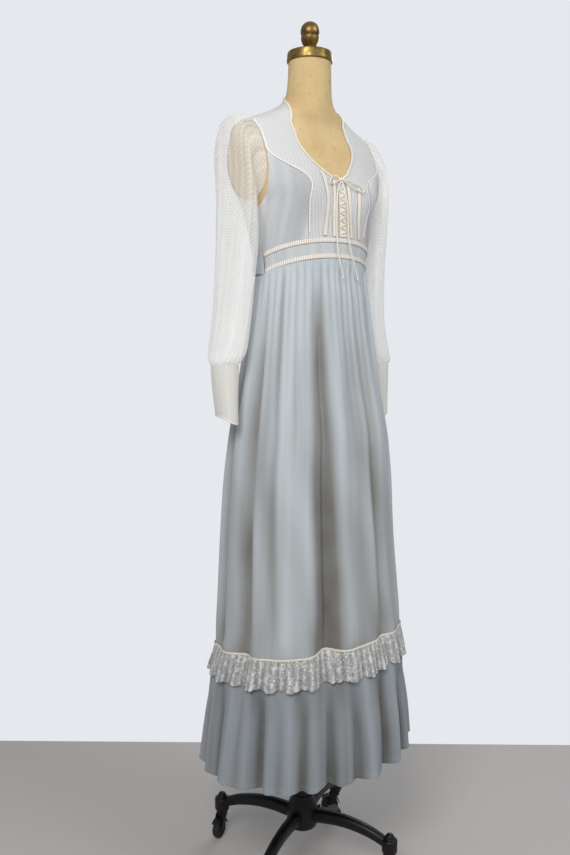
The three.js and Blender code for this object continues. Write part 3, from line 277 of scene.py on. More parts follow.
def waist_top(angle: Array) -> Array:
    """Height of the waistband's top edge."""
    facing = cosd(angle)
    return WAIST_SIDE + np.where(facing > 0, WAIST_FRONT_RISE, WAIST_BACK_DROP) * facing


def waist_low(angle: Array) -> Array:
    """Height of the waistband's lower edge."""
    return waist_top(angle) - WAISTBAND


def tilt(angle: Array) -> Array:
    """How much higher the skirt hangs on one side."""
    return HEM_TILT * cosd(angle - TILT_ANGLE)


def hollow(table: Sequence[Sequence[float]], angle: Array, level: Array) -> Array:
    """Depth of a table's hollows, from their high depth to their low depth."""
    total = np.zeros(np.broadcast(angle, level).shape)
    for at, wide, high, low in table:
        apart = (np.asarray(angle) - at + 540) % 360 - 180
        total += mix(high, low, level) * np.exp(-((apart / wide) ** 2))
    return total


def ripple(angle: Array, z: Array, waves: Sequence[tuple[float, float, float]], seed: float) -> Array:
    """Uneven soft folds that run down a piece and drift as they go.

    Args:
        angle: angles round the piece
        z: heights
        waves: count round, size and drift of each wave
        seed: shifts the pattern

    Returns:
        Distances to move the surface by.
    """
    total = np.zeros(np.broadcast(angle, z).shape)
    for i, (count, size, drift) in enumerate(waves):
        wander = drift * np.sin(z * 0.011 + seed + i) + 0.9 * np.sin(np.radians(angle * (i + 2)) + seed)
        swell = 0.75 + 0.25 * np.sin(z * 0.017 + i * 2.1)
        total += size * np.sin(np.radians(angle) * count + seed * (i + 1.7) + wander) * swell
    return total


def crease(table: Sequence[Sequence[float]], angle: Array, level: Array) -> Array:
    """Sharp folds: the table's hollows with part of their depth in a narrow crease."""
    narrow = [(at + 0.35 * wide, wide * 0.42, high, low) for at, wide, high, low in table]
    return 0.72 * hollow(table, angle, level) + 0.5 * hollow(narrow, angle, level)


def skirt_point(angle: Array, z: Array, depth: Array) -> Array:
    """Points of the skirt over the fold tops, moved in by a depth."""
    half = SKIRT.at("half", z) - depth
    front, back = SKIRT.at("front", z), SKIRT.at("back", z)
    y = (back - front) / 2 - ((back + front) / 2 - depth) * cosd(angle)
    return np.stack([half * sind(angle), y, z + 0 * angle], -1)


def skirt_depth(angle: Array, t: Array) -> Array:
    """Depth of the skirt's folds, t going from the waist to the flounce."""
    start = np.minimum(t / 0.3, 1)
    return hollow(SKIRT_HOLLOWS, angle, np.minimum(t * 1.2, 1)) * start * (2 - start)


def gather(angle: Array, t: Array) -> Array:
    """Gathers below the waistband that stop at the zip."""
    uneven = (1 + 0.35 * sind(angle * 5)) * zip_gap(angle)
    return GATHER_DEPTH * uneven * (0.5 - 0.5 * cosd(angle * GATHERS)) * np.exp(-t * 9)


def zip_gap(angle: Array) -> Array:
    """Falls from 1 to 0 at the zip, where gathers and small folds stop."""
    return 1 - np.exp(-(((180 - np.abs(angle)) / 9) ** 4))


def push_out(points: Array, angle: Array, distance: Array) -> None:
    """Moves points straight out from the body's axis."""
    points[..., 0] += distance * sind(angle)
    points[..., 1] -= distance * cosd(angle)


def lace_seam(angle: Array) -> Array:
    """Height of the flounce's seam."""
    return LACE_LEVEL + tilt(angle)


def hem(angle: Array) -> Array:
    """Height of the hem."""
    return HEM_LEVEL + tilt(angle)


def flounce_point(angle: Array, t: Array) -> Array:
    """Points of the flounce, t going from its seam to the hem."""
    z = mix(lace_seam(angle) - SEAM / 2, hem(angle), t)
    above = skirt_depth(angle, np.ones_like(t)) * (1 - t) ** 1.5
    own = hollow(FLOUNCE_HOLLOWS, angle, t) * np.minimum(t * 3, 1)
    return skirt_point(angle, z, above + own - 3 * np.sin(np.pi * np.minimum(t * 2.2, 1)))


def back_out(x: Array, z: Array) -> Array:
    """How far back the dress reaches at a distance from the middle and a height."""
    x, z = np.broadcast_arrays(np.asarray(x, float), np.asarray(z, float))
    edge = float(waist_low(np.array(180.0))) - SEAM
    high = on_form(180 - np.sign(x) * angle_at(np.abs(x), z), z, OUTER_LIFT)[..., 1]
    level = np.minimum(z, edge)
    angle = 180 - np.degrees(np.arcsin(x / SKIRT.at("half", level)))
    t = (edge - level) / (edge - lace_seam(angle))
    low = skirt_point(angle, level, skirt_depth(angle, t))[..., 1]
    return np.where(z > edge + 3, high, low)


def smooth_route(points: Sequence[Sequence[float]], count: int) -> Array:
    """Points along a smooth curve through a few points.

    Args:
        points: what the curve passes through
        count: how many points to give back

    Returns:
        The points at even steps of the curve's own parameter.
    """
    p = np.asarray(points, float)
    p = np.vstack([2 * p[0] - p[1], p, 2 * p[-1] - p[-2]])
    s = np.linspace(0, len(points) - 1 - 1e-9, count)
    i = s.astype(int) + 1
    t = (s - np.floor(s))[:, None]
    a, b, c, d = p[i - 1], p[i], p[i + 1], p[np.minimum(i + 2, len(p) - 1)]
    bend, twist = 2 * a - 5 * b + 4 * c - d, 3 * b - a - 3 * c + d
    return 0.5 * (2 * b + (c - a) * t + bend * t ** 2 + twist * t ** 3)


# Meshes

CORD_ROUNDNESS = 2


def deselect() -> None:
    """Leaves nothing selected, so that an operator acts only on what comes next."""
    if bpy.context.object and bpy.context.object.mode != "OBJECT":
        bpy.ops.object.mode_set(mode="OBJECT")
    bpy.ops.object.select_all(action="DESELECT")


def pick(obj: Piece) -> Piece:
    """Makes one object the selected and active one."""
    deselect()
    obj.select_set(True)
    bpy.context.view_layer.objects.active = obj
    return obj


def add_object(name: str, data: bpy.types.ID) -> Piece:
    """Puts a mesh or curve into the scene as the selected object."""
    obj = bpy.data.objects.new(name, data)
    bpy.context.scene.collection.objects.link(obj)
    return pick(obj)


def edit_all() -> None:
    """Starts edit mode with the whole mesh selected."""
    bpy.ops.object.mode_set(mode="EDIT")
    bpy.ops.mesh.select_all(action="SELECT")


def face_outwards() -> None:
    """Turns the faces of the mesh in edit mode outwards, and leaves edit mode."""
    bpy.ops.mesh.select_all(action="SELECT")
    bpy.ops.mesh.normals_make_consistent(inside=False)
    bpy.ops.object.mode_set(mode="OBJECT")


def spread(rows: int, cols: int) -> tuple[Array, Array]:
    """Even shares from 0 to 1 down a grid and across it."""
    return np.linspace(0, 1, rows)[:, None], np.linspace(0, 1, cols)[None, :]


def settle(obj: Piece, name: str, smooth: float = 40) -> Piece:
    """Names a finished piece, applies its place to its mesh and smooths it.

    Args:
        obj: the piece
        name: its name
        smooth: edges flatter than this angle are shaded smooth

    Returns:
        The piece.
    """
    pick(obj)
    obj.name = obj.data.name = name
    bpy.ops.object.transform_apply(location=True, rotation=True, scale=True)
    bpy.ops.object.shade_smooth_by_angle(angle=math.radians(smooth))
    return obj


def apply_modifiers(obj: Piece) -> Piece:
    """Applies all of a piece's modifiers."""
    pick(obj)
    for name in [m.name for m in obj.modifiers]:
        bpy.ops.object.modifier_apply(modifier=name)
    return obj


def cloth_grid(
    name: str, points: Array, closed: bool, thick: float, depth: Array | None = None,
) -> Piece:
    """A thin shell of cloth through a grid of points, with its flat cut as its UV map in metres.

    Args:
        name: the piece's name
        points: rows by columns by three, in millimetres, its outer face
        closed: whether the last column meets the first
        thick: the cloth's thickness in millimetres
        depth: how deep in a fold each point lies, from 0 to 1, kept as the fold mask: painted shade on cloth
            and lace, seam lines on the linen

    Returns:
        The piece.
    """
    rows, cols = points.shape[:2]
    spans = cols if closed else cols - 1
    r, c = np.meshgrid(np.arange(rows - 1), np.arange(spans), indexing="ij")
    n = (c + 1) % cols
    quads = np.stack([r * cols + c, (r + 1) * cols + c, (r + 1) * cols + n, r * cols + n], -1).reshape(-1, 4)
    flat = points.reshape(-1, 3) * MM
    mesh = bpy.data.meshes.new(name)
    mesh.from_pydata(flat.tolist(), [], quads.tolist())
    wrap = np.concatenate([points, points[:, :1]], 1) if closed else points
    across = np.linalg.norm(np.diff(wrap, axis=1), axis=2).mean(0)
    down = np.linalg.norm(np.diff(points, axis=0), axis=2).mean(1)
    u = np.concatenate([[0], np.cumsum(across)]) * MM
    v = np.concatenate([[0], np.cumsum(down)]) * MM
    layer = mesh.uv_layers.new(name="cut")
    uv = np.stack([
        np.stack([u[c], v[r]], -1), np.stack([u[c], v[r + 1]], -1),
        np.stack([u[c + 1], v[r + 1]], -1), np.stack([u[c + 1], v[r]], -1),
    ], 2).reshape(-1, 2)
    layer.data.foreach_set("uv", uv.astype(np.float32).ravel())
    shade = mesh.attributes.new("fold", "FLOAT", "POINT")
    values = np.zeros(rows * cols) if depth is None else np.clip(depth, 0, 1).ravel()
    shade.data.foreach_set("value", values.astype(np.float32))
    middle = points.mean(1, keepdims=True) if closed else np.array([0, 12, 0]) + points * [0, 0, 1]
    a, b, d = points[:-1, :-1], points[1:, :-1], points[:-1, 1:]
    facing = (np.cross(b - a, d - a) * (a - np.broadcast_to(middle, points.shape)[:-1, :-1])).sum()
    obj = add_object(name, mesh)
    if facing < 0:
        mesh.flip_normals()
    if thick:
        shell = obj.modifiers.new("thickness", "SOLIDIFY")
        shell.thickness = thick * MM
        shell.offset = -1
        apply_modifiers(obj)
    bpy.ops.object.shade_smooth_by_angle(angle=math.radians(60))
    return obj


def cord_tube(name: str, route: Array, radius: float) -> Piece:
    """A cord along a route, as a curve turned into a mesh.

    Args:
        name: the piece's name
        route: points in millimetres
        radius: the cord's radius in millimetres

    Returns:
        The piece.
    """
    data = bpy.data.curves.new(name, "CURVE")
    data.dimensions = "3D"
    line = data.splines.new("POLY")
    line.points.add(len(route) - 1)
    for point, place in zip(line.points, route):
        point.co = (*[float(v) * MM for v in place], 1)
    data.bevel_depth = radius * MM
    data.bevel_resolution = CORD_ROUNDNESS
    data.use_fill_caps = True
    add_object(name, data)
    bpy.ops.object.convert(target="MESH")
    obj = bpy.context.object
    obj.name = obj.data.name = name
    bpy.ops.object.shade_smooth_by_angle(angle=math.radians(60))
    return obj


def turned(name: str, profile: Sequence[tuple[float, float]], steps: int) -> Piece:
    """A turned piece: a disc drawn up and resized ring by ring.

    Args:
        name: the piece's name
        profile: radius and height of each ring, in millimetres
        steps: points round it

    Returns:
        The piece.
    """
    deselect()
    bpy.ops.mesh.primitive_circle_add(
        vertices=steps, radius=profile[0][0] * MM, location=(0, 0, profile[0][1] * MM), fill_type="NGON")
    obj = bpy.context.object
    edit_all()
    for (ra, za), (rb, zb) in zip(profile, profile[1:]):
        bpy.ops.mesh.extrude_region_move(TRANSFORM_OT_translate={"value": (0, 0, (zb - za) * MM)})
        bpy.ops.transform.resize(value=(rb / ra, rb / ra, 1), center_override=(0, 0, zb * MM))
    face_outwards()
    return settle(obj, name)


def join(name: str, parts: Sequence[Piece], smooth: float = 40) -> Piece:
    """Joins pieces into one object."""
    deselect()
    for part in parts:
        part.select_set(True)
    bpy.context.view_layer.objects.active = parts[0]
    bpy.ops.object.join()
    return settle(bpy.context.object, name, smooth)


def trim_grid(route: Array, normals: Array, width: float, lift: float, crown: float, cols: int = 7) -> Array:
    """Grid of a ribbon along a route.

    Args:
        route: points on the surface under it
        normals: the surface's normals there
        width: the ribbon's width
        lift: how far its outer face stands off
        crown: how much its middle stands over its edges
        cols: points across

    Returns:
        Rows by columns by three.
    """
    along = np.gradient(route, axis=0)
    along /= np.linalg.norm(along, axis=1, keepdims=True)
    across = np.cross(normals, along)
    across /= np.linalg.norm(across, axis=1, keepdims=True)
    s = np.linspace(-0.5, 0.5, cols)
    rise = lift + crown * (1 - (2 * s) ** 2)
    sideways = across[:, None] * (s * width)[None, :, None]
    return route[:, None] + sideways + normals[:, None] * rise[None, :, None]


def form_route(route: Sequence[Sequence[float]] | Array, count: int) -> tuple[Array, Array]:
    """Points and normals of the form along a route of angles and heights."""
    fine = smooth_route(route, count)
    base = form_point(fine[:, 0], fine[:, 1])
    normals = on_form(fine[:, 0], fine[:, 1], 1.0) - base
    return base, normals


def yoke_edge(z: Array) -> Array:
    """Angle of the front yoke's outer edge: the seam, then the armhole."""
    return angle_at(np.where(z < YOKE_CORNER, YOKE_SEAM.at("out", z), ARMHOLE), z)


def angle_of(distance: float, z: Array) -> Array:
    """Angle of a small distance along the form at a height."""
    return np.degrees(distance / FORM.at("half", z))


# Faces of a pointed bead of six corners
BEAD_FACES = np.array([
    [0, 1, 4], [1, 2, 4], [2, 3, 4], [3, 0, 4], [1, 0, 5], [2, 1, 5], [3, 2, 5], [0, 3, 5],
])


def stitch_rows(name: str, lines: Sequence[tuple[Array, Array]], pitch: float) -> Piece:
    """Rows of sewn stitches, each a small pointed bead of thread half sunk in the cloth.

    Args:
        name: the piece's name
        lines: points and normals of each row, in millimetres
        pitch: distance between stitches

    Returns:
        All the stitches as one piece.
    """
    corners, faces = [], []
    for route, normals in lines:
        gone = np.concatenate([[0], np.cumsum(np.linalg.norm(np.diff(route, axis=0), axis=1))])
        count = max(int(gone[-1] / pitch), 2)
        at = (np.arange(count) + 0.5) * gone[-1] / count
        spot = np.stack([np.interp(at, gone, route[:, i]) for i in range(3)], 1)
        ahead = np.stack([np.interp(at + 0.5, gone, route[:, i]) for i in range(3)], 1) - spot
        ahead /= np.maximum(np.linalg.norm(ahead, axis=1, keepdims=True), 1e-6)
        up = np.stack([np.interp(at, gone, normals[:, i]) for i in range(3)], 1)
        side = np.cross(up, ahead)
        first = sum(len(c) for c in corners)
        long, wide = pitch * 0.32, 0.28
        six = np.stack([
            spot + ahead * long, spot + side * wide, spot - ahead * long, spot - side * wide,
            spot + up * 0.35, spot - up * 0.2,
        ], 1)
        corners.append(six.reshape(-1, 3))
        base = first + 6 * np.arange(count)[:, None, None]
        faces.append((base + BEAD_FACES[None]).reshape(-1, 3))
    mesh = bpy.data.meshes.new(name)
    mesh.from_pydata((np.vstack(corners) * MM).tolist(), [], np.vstack(faces).tolist())
    obj = add_object(name, mesh)
    bpy.ops.object.shade_smooth()
    return obj


# Finishes

Colour = tuple[float, float, float, float]


def tint(red: int, green: int, blue: int) -> Colour:
    """Linear colour of a screen colour."""
    values = [c / 255 for c in (red, green, blue)]
    linear = [c / 12.92 if c <= 0.04045 else ((c + 0.055) / 1.055) ** 2.4 for c in values]
    return (linear[0], linear[1], linear[2], 1.0)


class Board:
    """Lays out the nodes of one material or node group."""

    def __init__(self, tree: bpy.types.NodeTree) -> None:
        """Starts on an empty tree."""
        self.tree = tree
        tree.nodes.clear()

    def node(
        self, kind: str, values: dict | None = None, links: dict | None = None, **settings: object,
    ) -> bpy.types.Node:
        """Adds a node.

        Args:
            kind: its type, without the prefix that shader nodes share
            values: what its inputs are set to
            links: outputs of other nodes that its inputs take
            settings: its own settings

        Returns:
            The node.
        """
        made = self.tree.nodes.new(kind if kind.startswith("NodeGroup") else f"ShaderNode{kind}")
        for key, value in settings.items():
            setattr(made, key, value)
        for key, value in (values or {}).items():
            made.inputs[key].default_value = value
        for key, output in (links or {}).items():
            self.tree.links.new(output, made.inputs[key])
        return made

    def math(self, operation: str, a: object, b: object = 0.0, c: object = 0.0) -> Socket:
        """Sum of the kind named, on numbers or outputs."""
        made = self.tree.nodes.new("ShaderNodeMath")
        made.operation = operation
        for slot, value in enumerate((a, b, c)):
            if isinstance(value, Socket):
                self.tree.links.new(value, made.inputs[slot])
            else:
                made.inputs[slot].default_value = value
        return made.outputs[0]

    def blend(self, factor: object, a: object, b: object) -> Socket:
        """Colour between a and b."""
        made = self.tree.nodes.new("ShaderNodeMix")
        made.data_type = "RGBA"
        for slot, value in ((0, factor), (6, a), (7, b)):
            if isinstance(value, Socket):
                self.tree.links.new(value, made.inputs[slot])
            else:
                made.inputs[slot].default_value = value
        return made.outputs[2]

    def group(
        self, tree: bpy.types.NodeTree, values: dict | None = None, links: dict | None = None,
    ) -> Socket:
        """Places a node group and gives back what it puts out."""
        return self.node("Group", values, links, node_tree=tree).outputs[0]

    def cut(self) -> Socket:
        """Place on the piece's flat cut."""
        return self.node("UVMap", uv_map="cut").outputs["UV"]

    def place(self) -> Socket:
        """Place in the part's own frame."""
        return self.node("TexCoord").outputs["Object"]

    def fold(self) -> Socket:
        """How deep in a fold a point lies: the mask of painted shade on cloth and lace, and of seam lines on
        the linen.
        """
        return self.node("Attribute", attribute_name="fold").outputs["Fac"]

    def bump(self, strength: float, distance: float, height: Socket, **under: Socket) -> Socket:
        """Normal of a surface raised by a height."""
        links = {"Height": height, **under}
        return self.node("Bump", {"Strength": strength, "Distance": distance}, links).outputs["Normal"]

    def finish(self, values: dict, links: dict) -> None:
        """Joins a surface with these values and links to the material's output."""
        shader = self.node("BsdfPrincipled", values, links)
        self.node("OutputMaterial", None, {"Surface": shader.outputs[0]})


def new_group(
    name: str, inputs: dict[str, float | None], outputs: Sequence[str],
) -> tuple[Board, bpy.types.bpy_prop_collection]:
    """Starts a node group.

    Args:
        name: the group's name
        inputs: its numbers with their defaults; None stands for a vector
        outputs: names of the numbers it puts out

    Returns:
        The group's board and the sockets of what it is given.
    """
    tree = bpy.data.node_groups.new(name, "ShaderNodeTree")
    board = Board(tree)
    for key, value in inputs.items():
        kind = "NodeSocketVector" if value is None else "NodeSocketFloat"
        socket = tree.interface.new_socket(key, in_out="INPUT", socket_type=kind)
        if value is not None:
            socket.default_value = value
    for key in outputs:
        tree.interface.new_socket(key, in_out="OUTPUT", socket_type="NodeSocketFloat")
    return board, board.node("NodeGroupInput").outputs


def end_group(board: Board, outputs: dict[str, Socket]) -> bpy.types.NodeTree:
    """Joins a group's results to its outputs."""
    board.node("NodeGroupOutput", links=outputs)
    return board.tree


class Effects:
    """Node groups that several finishes share, each built once."""

    def __init__(self) -> None:
        """Builds the groups."""
        self.cloud = self.build_cloud()
        self.weave = self.build_weave()
        self.dots = self.build_dots()
        self.bars = self.build_bars()
        self.streaks = self.build_streaks()
        self.wrinkles = self.build_wrinkles()

    def build_cloud(self) -> bpy.types.NodeTree:
        """Soft patches, from 0 to 1."""
        inputs = {"Vector": None, "Scale": 8.0, "Low": 0.35, "High": 0.65}
        board, given = new_group("cloud", inputs, ["Mask"])
        noise = board.node(
            "TexNoise", {"Detail": 4.0}, {"Vector": given["Vector"], "Scale": given["Scale"]})
        ranged = board.node("MapRange", None, {
            "Value": noise.outputs["Fac"], "From Min": given["Low"], "From Max": given["High"]})
        return end_group(board, {"Mask": ranged.outputs["Result"]})

    def build_weave(self) -> bpy.types.NodeTree:
        """Over and under of threads at a pitch, with uneven slubs."""
        board, given = new_group("weave", {"Vector": None, "Pitch": 0.0008}, ["Height"])
        axes = board.node("SeparateXYZ", None, {"Vector": given["Vector"]})
        turn = board.math("DIVIDE", 2 * math.pi, given["Pitch"])
        u = board.math("SINE", board.math("MULTIPLY", axes.outputs["X"], turn))
        v = board.math("SINE", board.math("MULTIPLY", axes.outputs["Y"], turn))
        threads = board.math("MULTIPLY", u, v)
        stretched = board.node("Mapping", {"Scale": (900, 90, 1)}, {"Vector": given["Vector"]})
        slub = board.node("TexNoise", {"Scale": 1.0, "Detail": 2.0}, {"Vector": stretched.outputs["Vector"]})
        return end_group(board, {"Height": board.math("MULTIPLY_ADD", slub.outputs["Fac"], 1.4, threads)})

    def build_dots(self) -> bpy.types.NodeTree:
        """Woven dots in staggered rows."""
        board, given = new_group("dots", {"Vector": None, "Pitch": 0.008, "Size": 0.15}, ["Mask"])
        inverse = board.math("DIVIDE", 1.0, given["Pitch"])
        scaled = board.node(
            "VectorMath", None, {0: given["Vector"], "Scale": inverse}, operation="SCALE")
        masks = []
        for shift in ((0.0, 0.0, 0.0), (0.5, 0.5, 0.0)):
            moved = board.node("VectorMath", {1: shift}, {0: scaled.outputs[0]}, operation="ADD")
            cell = board.node("VectorMath", None, {0: moved.outputs[0]}, operation="FRACTION")
            half = {1: (0.5, 0.5, 0.0)}
            middle = board.node("VectorMath", half, {0: cell.outputs[0]}, operation="SUBTRACT")
            away = board.node("VectorMath", None, {0: middle.outputs[0]}, operation="LENGTH")
            near = board.math("SUBTRACT", given["Size"], away.outputs["Value"])
            masks.append(board.math("MULTIPLY", near, 14.0))
        both = board.math("MAXIMUM", masks[0], masks[1])
        clamped = board.node("Clamp", None, {"Value": both})
        return end_group(board, {"Mask": clamped.outputs[0]})

    def build_bars(self) -> bpy.types.NodeTree:
        """Cross bars along a ribbon, as of a woven ladder."""
        board, given = new_group("bars", {"Vector": None, "Pitch": 0.005}, ["Mask"])
        axes = board.node("SeparateXYZ", None, {"Vector": given["Vector"]})
        turn = board.math("DIVIDE", 2 * math.pi, given["Pitch"])
        wave = board.math("SINE", board.math("MULTIPLY", axes.outputs["X"], turn))
        ranged = board.node("MapRange", {"From Min": -0.2, "From Max": 0.5}, {"Value": wave})
        return end_group(board, {"Mask": ranged.outputs["Result"]})

    def build_wrinkles(self) -> bpy.types.NodeTree:
        """Long soft creases of worn cloth, most of them running down it."""
        board, given = new_group("wrinkles", {"Vector": None}, ["Height"])
        heights = []
        for scale, turn in (((34.0, 7.0, 1.0), 0.12), ((16.0, 11.0, 1.0), -0.7)):
            moved = board.node(
                "Mapping", {"Scale": scale, "Rotation": (0, 0, turn)}, {"Vector": given["Vector"]})
            noise = board.node(
                "TexNoise", {"Scale": 1.0, "Detail": 2.0, "Distortion": 0.6}, {"Vector": moved.outputs[0]})
            away = board.math("SUBTRACT", noise.outputs["Fac"], 0.5)
            heights.append(board.math("ABSOLUTE", away))
        return end_group(board, {"Height": board.math("MULTIPLY_ADD", heights[1], 0.6, heights[0])})

    def build_streaks(self) -> bpy.types.NodeTree:
        """Fine streaks that run down a piece."""
        board, given = new_group("streaks", {"Vector": None, "Across": 120.0, "Down": 2.5}, ["Mask"])
        scale = board.node(
            "CombineXYZ", {"Z": 1.0}, {"X": given["Across"], "Y": given["Down"]})
        moved = board.node(
            "VectorMath", None, {0: given["Vector"], 1: scale.outputs[0]}, operation="MULTIPLY")
        noise = board.node("TexNoise", {"Scale": 1.0, "Detail": 3.0}, {"Vector": moved.outputs[0]})
        ends = {"From Min": 0.35, "From Max": 0.68}
        ranged = board.node("MapRange", ends, {"Value": noise.outputs["Fac"]})
        return end_group(board, {"Mask": ranged.outputs["Result"]})


class Finish:
    """A finish that lays its nodes out on the board of a new material."""

    name: str

    def make(self, effects: Effects) -> bpy.types.Material:
        """The finish's material.

        Args:
            effects: the shared node groups

        Returns:
            The material.
        """
        material = bpy.data.materials.new(self.name)
        material.use_nodes = True
        self.lay_out(Board(material.node_tree), effects)
        return material


@dataclass(frozen=True)
class Cloth(Finish):
    """Thin woven cloth with painted shade: darker and warmer in its fold hollows and creases, paler on its
    fold tops.
    """

    name: str
    crest: Colour
    valley_shade_and_streak: Colour
    patch: Colour
    pitch: float = 0.0009
    dot_pitch: float = 0.0
    dot_size: float = 0.17
    dot: Colour = (0.9, 0.9, 0.9, 1.0)
    solid: float = 1.0
    roughness: float = 0.85
    sheen: float = 0.25
    bump: float = 0.35
    streak: float = 0.25
    wrinkle: float = 0.35
    painted_glow: float = 0.0

    def lay_out(self, board: Board, effects: Effects) -> None:
        """Lays out the cloth's nodes."""
        cut = board.cut()
        place = board.place()
        fold = board.fold()
        cloud = board.group(effects.cloud, {"Scale": 5.0}, {"Vector": place})
        streaks = board.group(effects.streaks, None, {"Vector": cut})
        # painted shade: the fold mask blends the colour towards the valley shade colour in hollows and
        # creases
        colour = board.blend(fold, self.crest, self.valley_shade_and_streak)
        mottled = board.math("MULTIPLY", cloud, 0.35)
        colour = board.blend(mottled, colour, self.patch)
        colour = board.blend(board.math("MULTIPLY", streaks, self.streak), colour, self.valley_shade_and_streak)
        height = board.group(effects.weave, {"Pitch": self.pitch}, {"Vector": cut})
        values = {"Roughness": self.roughness, "Sheen Weight": self.sheen, "Sheen Roughness": 0.5}
        links = {}
        if self.dot_pitch:
            dots = board.group(
                effects.dots, {"Pitch": self.dot_pitch, "Size": self.dot_size}, {"Vector": cut})
            colour = board.blend(dots, colour, self.dot)
            height = board.math("MULTIPLY_ADD", dots, 2.0, height)
            if self.solid < 1:
                thread = board.math("MULTIPLY_ADD", streaks, 0.22, self.solid - 0.06)
                links["Alpha"] = board.math("MULTIPLY_ADD", dots, 0.42 - self.solid / 2, thread)
        # painted light: a faint white glow makes the sheer cloth look lit from behind
        if self.painted_glow:
            values |= {"Emission Color": (1.0, 1.0, 1.0, 1.0), "Emission Strength": self.painted_glow}
        wrinkles = board.group(effects.wrinkles, None, {"Vector": cut})
        worn = board.bump(self.wrinkle, 0.004, wrinkles)
        links |= {"Base Color": colour, "Normal": board.bump(self.bump, 0.0004, height, Normal=worn)}
        board.finish(values, links)


@dataclass(frozen=True)
class Satin(Finish):
    """Satin ribbon with fine ribs across it, and woven bars where it has them."""

    name: str
    main: Colour
    other: Colour
    bar_pitch: float = 0.0
    bar: Colour = (0.9, 0.9, 0.9, 1.0)

    def lay_out(self, board: Board, effects: Effects) -> None:
        """Lays out the ribbon's nodes."""
        cut = board.cut()
        place = board.place()
        cloud = board.group(effects.cloud, {"Scale": 22.0}, {"Vector": place})
        colour = board.blend(cloud, self.main, self.other)
        height = board.group(effects.weave, {"Pitch": 0.0007}, {"Vector": cut})
        if self.bar_pitch:
            bars = board.group(effects.bars, {"Pitch": self.bar_pitch}, {"Vector": cut})
            colour = board.blend(bars, colour, self.bar)
            height = board.math("MULTIPLY_ADD", bars, 2.0, height)
        rough = board.math("MULTIPLY_ADD", cloud, 0.14, 0.36)
        board.finish({"Sheen Weight": 0.3}, {
            "Base Color": colour, "Roughness": rough, "Normal": board.bump(0.3, 0.0003, height)})


@dataclass(frozen=True)
class Lace(Finish):
    """Open lace: flowers of dense thread on a fine open mesh, with painted shade in its folds."""

    name: str
    thread: Colour
    ground_and_shade: Colour
    flower: float = 0.0075

    def lay_out(self, board: Board, effects: Effects) -> None:
        """Lays out the lace's nodes."""
        cut = board.cut()
        petals = board.node(
            "TexVoronoi", {"Scale": 1 / self.flower, "Randomness": 0.7}, {"Vector": cut}, feature="F1")
        ring = board.math("SINE", board.math("MULTIPLY", petals.outputs["Distance"], 11.0))
        ends = {"From Min": -0.1, "From Max": 0.5}
        flower = board.node("MapRange", ends, {"Value": ring}).outputs["Result"]
        holes = board.group(effects.dots, {"Pitch": 0.0021, "Size": 0.3}, {"Vector": cut})
        open_part = board.math("MULTIPLY", holes, board.math("SUBTRACT", 1.0, flower))
        colour = board.blend(open_part, self.thread, self.ground_and_shade)
        fold = board.fold()
        # painted shade: the fold mask darkens the lace towards its mesh colour in the folds
        colour = board.blend(board.math("MULTIPLY", fold, 0.8), colour, self.ground_and_shade)
        weave = board.group(effects.weave, {"Pitch": 0.0012}, {"Vector": cut})
        height = board.math("MULTIPLY_ADD", flower, 2.5, weave)
        solid = board.math("MULTIPLY_ADD", open_part, -0.8, 1.0)
        board.finish({"Roughness": 0.85, "Sheen Weight": 0.2}, {
            "Base Color": colour, "Alpha": solid, "Normal": board.bump(0.6, 0.0006, height)})


@dataclass(frozen=True)
class Hard(Finish):
    """Hard surface with patches of another tone, fine grain and worn places."""

    name: str
    main: Colour
    patch: Colour
    worn: Colour
    metal: float
    roughness: float
    patch_scale: float = 30.0
    grain: float = 400.0
    bump: float = 0.15
    wear: float = 0.5

    def lay_out(self, board: Board, effects: Effects) -> None:
        """Lays out the surface's nodes."""
        place = board.place()
        cloud = board.group(effects.cloud, {"Scale": self.patch_scale}, {"Vector": place})
        scuffs = board.group(
            effects.cloud, {"Scale": self.patch_scale * 4, "Low": 0.56, "High": 0.7}, {"Vector": place})
        fine = board.group(
            effects.cloud, {"Scale": self.grain, "Low": 0.2, "High": 0.8}, {"Vector": place})
        colour = board.blend(cloud, self.main, self.patch)
        colour = board.blend(board.math("MULTIPLY", scuffs, self.wear), colour, self.worn)
        rough = board.math("MULTIPLY_ADD", cloud, 0.18, self.roughness)
        board.finish({"Metallic": self.metal}, {
            "Base Color": colour, "Roughness": rough, "Normal": board.bump(self.bump, 0.0005, fine)})


@dataclass(frozen=True)
class Canvas(Finish):
    """Aged linen glued over the form, with a vertical seam down each panel."""

    name: str
    main: Colour
    aged: Colour
    seam: Colour

    def lay_out(self, board: Board, effects: Effects) -> None:
        """Lays out the linen's nodes."""
        cut = board.cut()
        place = board.place()
        fold = board.fold()
        cloud = board.group(effects.cloud, {"Scale": 14.0}, {"Vector": place})
        spots = board.group(
            effects.cloud, {"Scale": 90.0, "Low": 0.58, "High": 0.75}, {"Vector": place})
        colour = board.blend(board.math("MULTIPLY", cloud, 0.6), self.main, self.aged)
        colour = board.blend(board.math("MULTIPLY", spots, 0.3), colour, self.seam)
        colour = board.blend(fold, colour, self.seam)
        weave = board.group(effects.weave, {"Pitch": 0.0011}, {"Vector": cut})
        board.finish({"Roughness": 0.9}, {"Base Color": colour, "Normal": board.bump(0.4, 0.0004, weave)})


class Side(Enum):
    """The wearer's sides."""

    RIGHT = -1
    LEFT = 1

    @property
    def word(self) -> str:
        """The side's word in the names of pieces."""
        return self.name.lower()


class Hold(Enum):
    """How a sheet is held."""

    HUNG = "hung"
    GATHERED = "gathered"
    LAID = "laid"
    DRAPED = "draped"


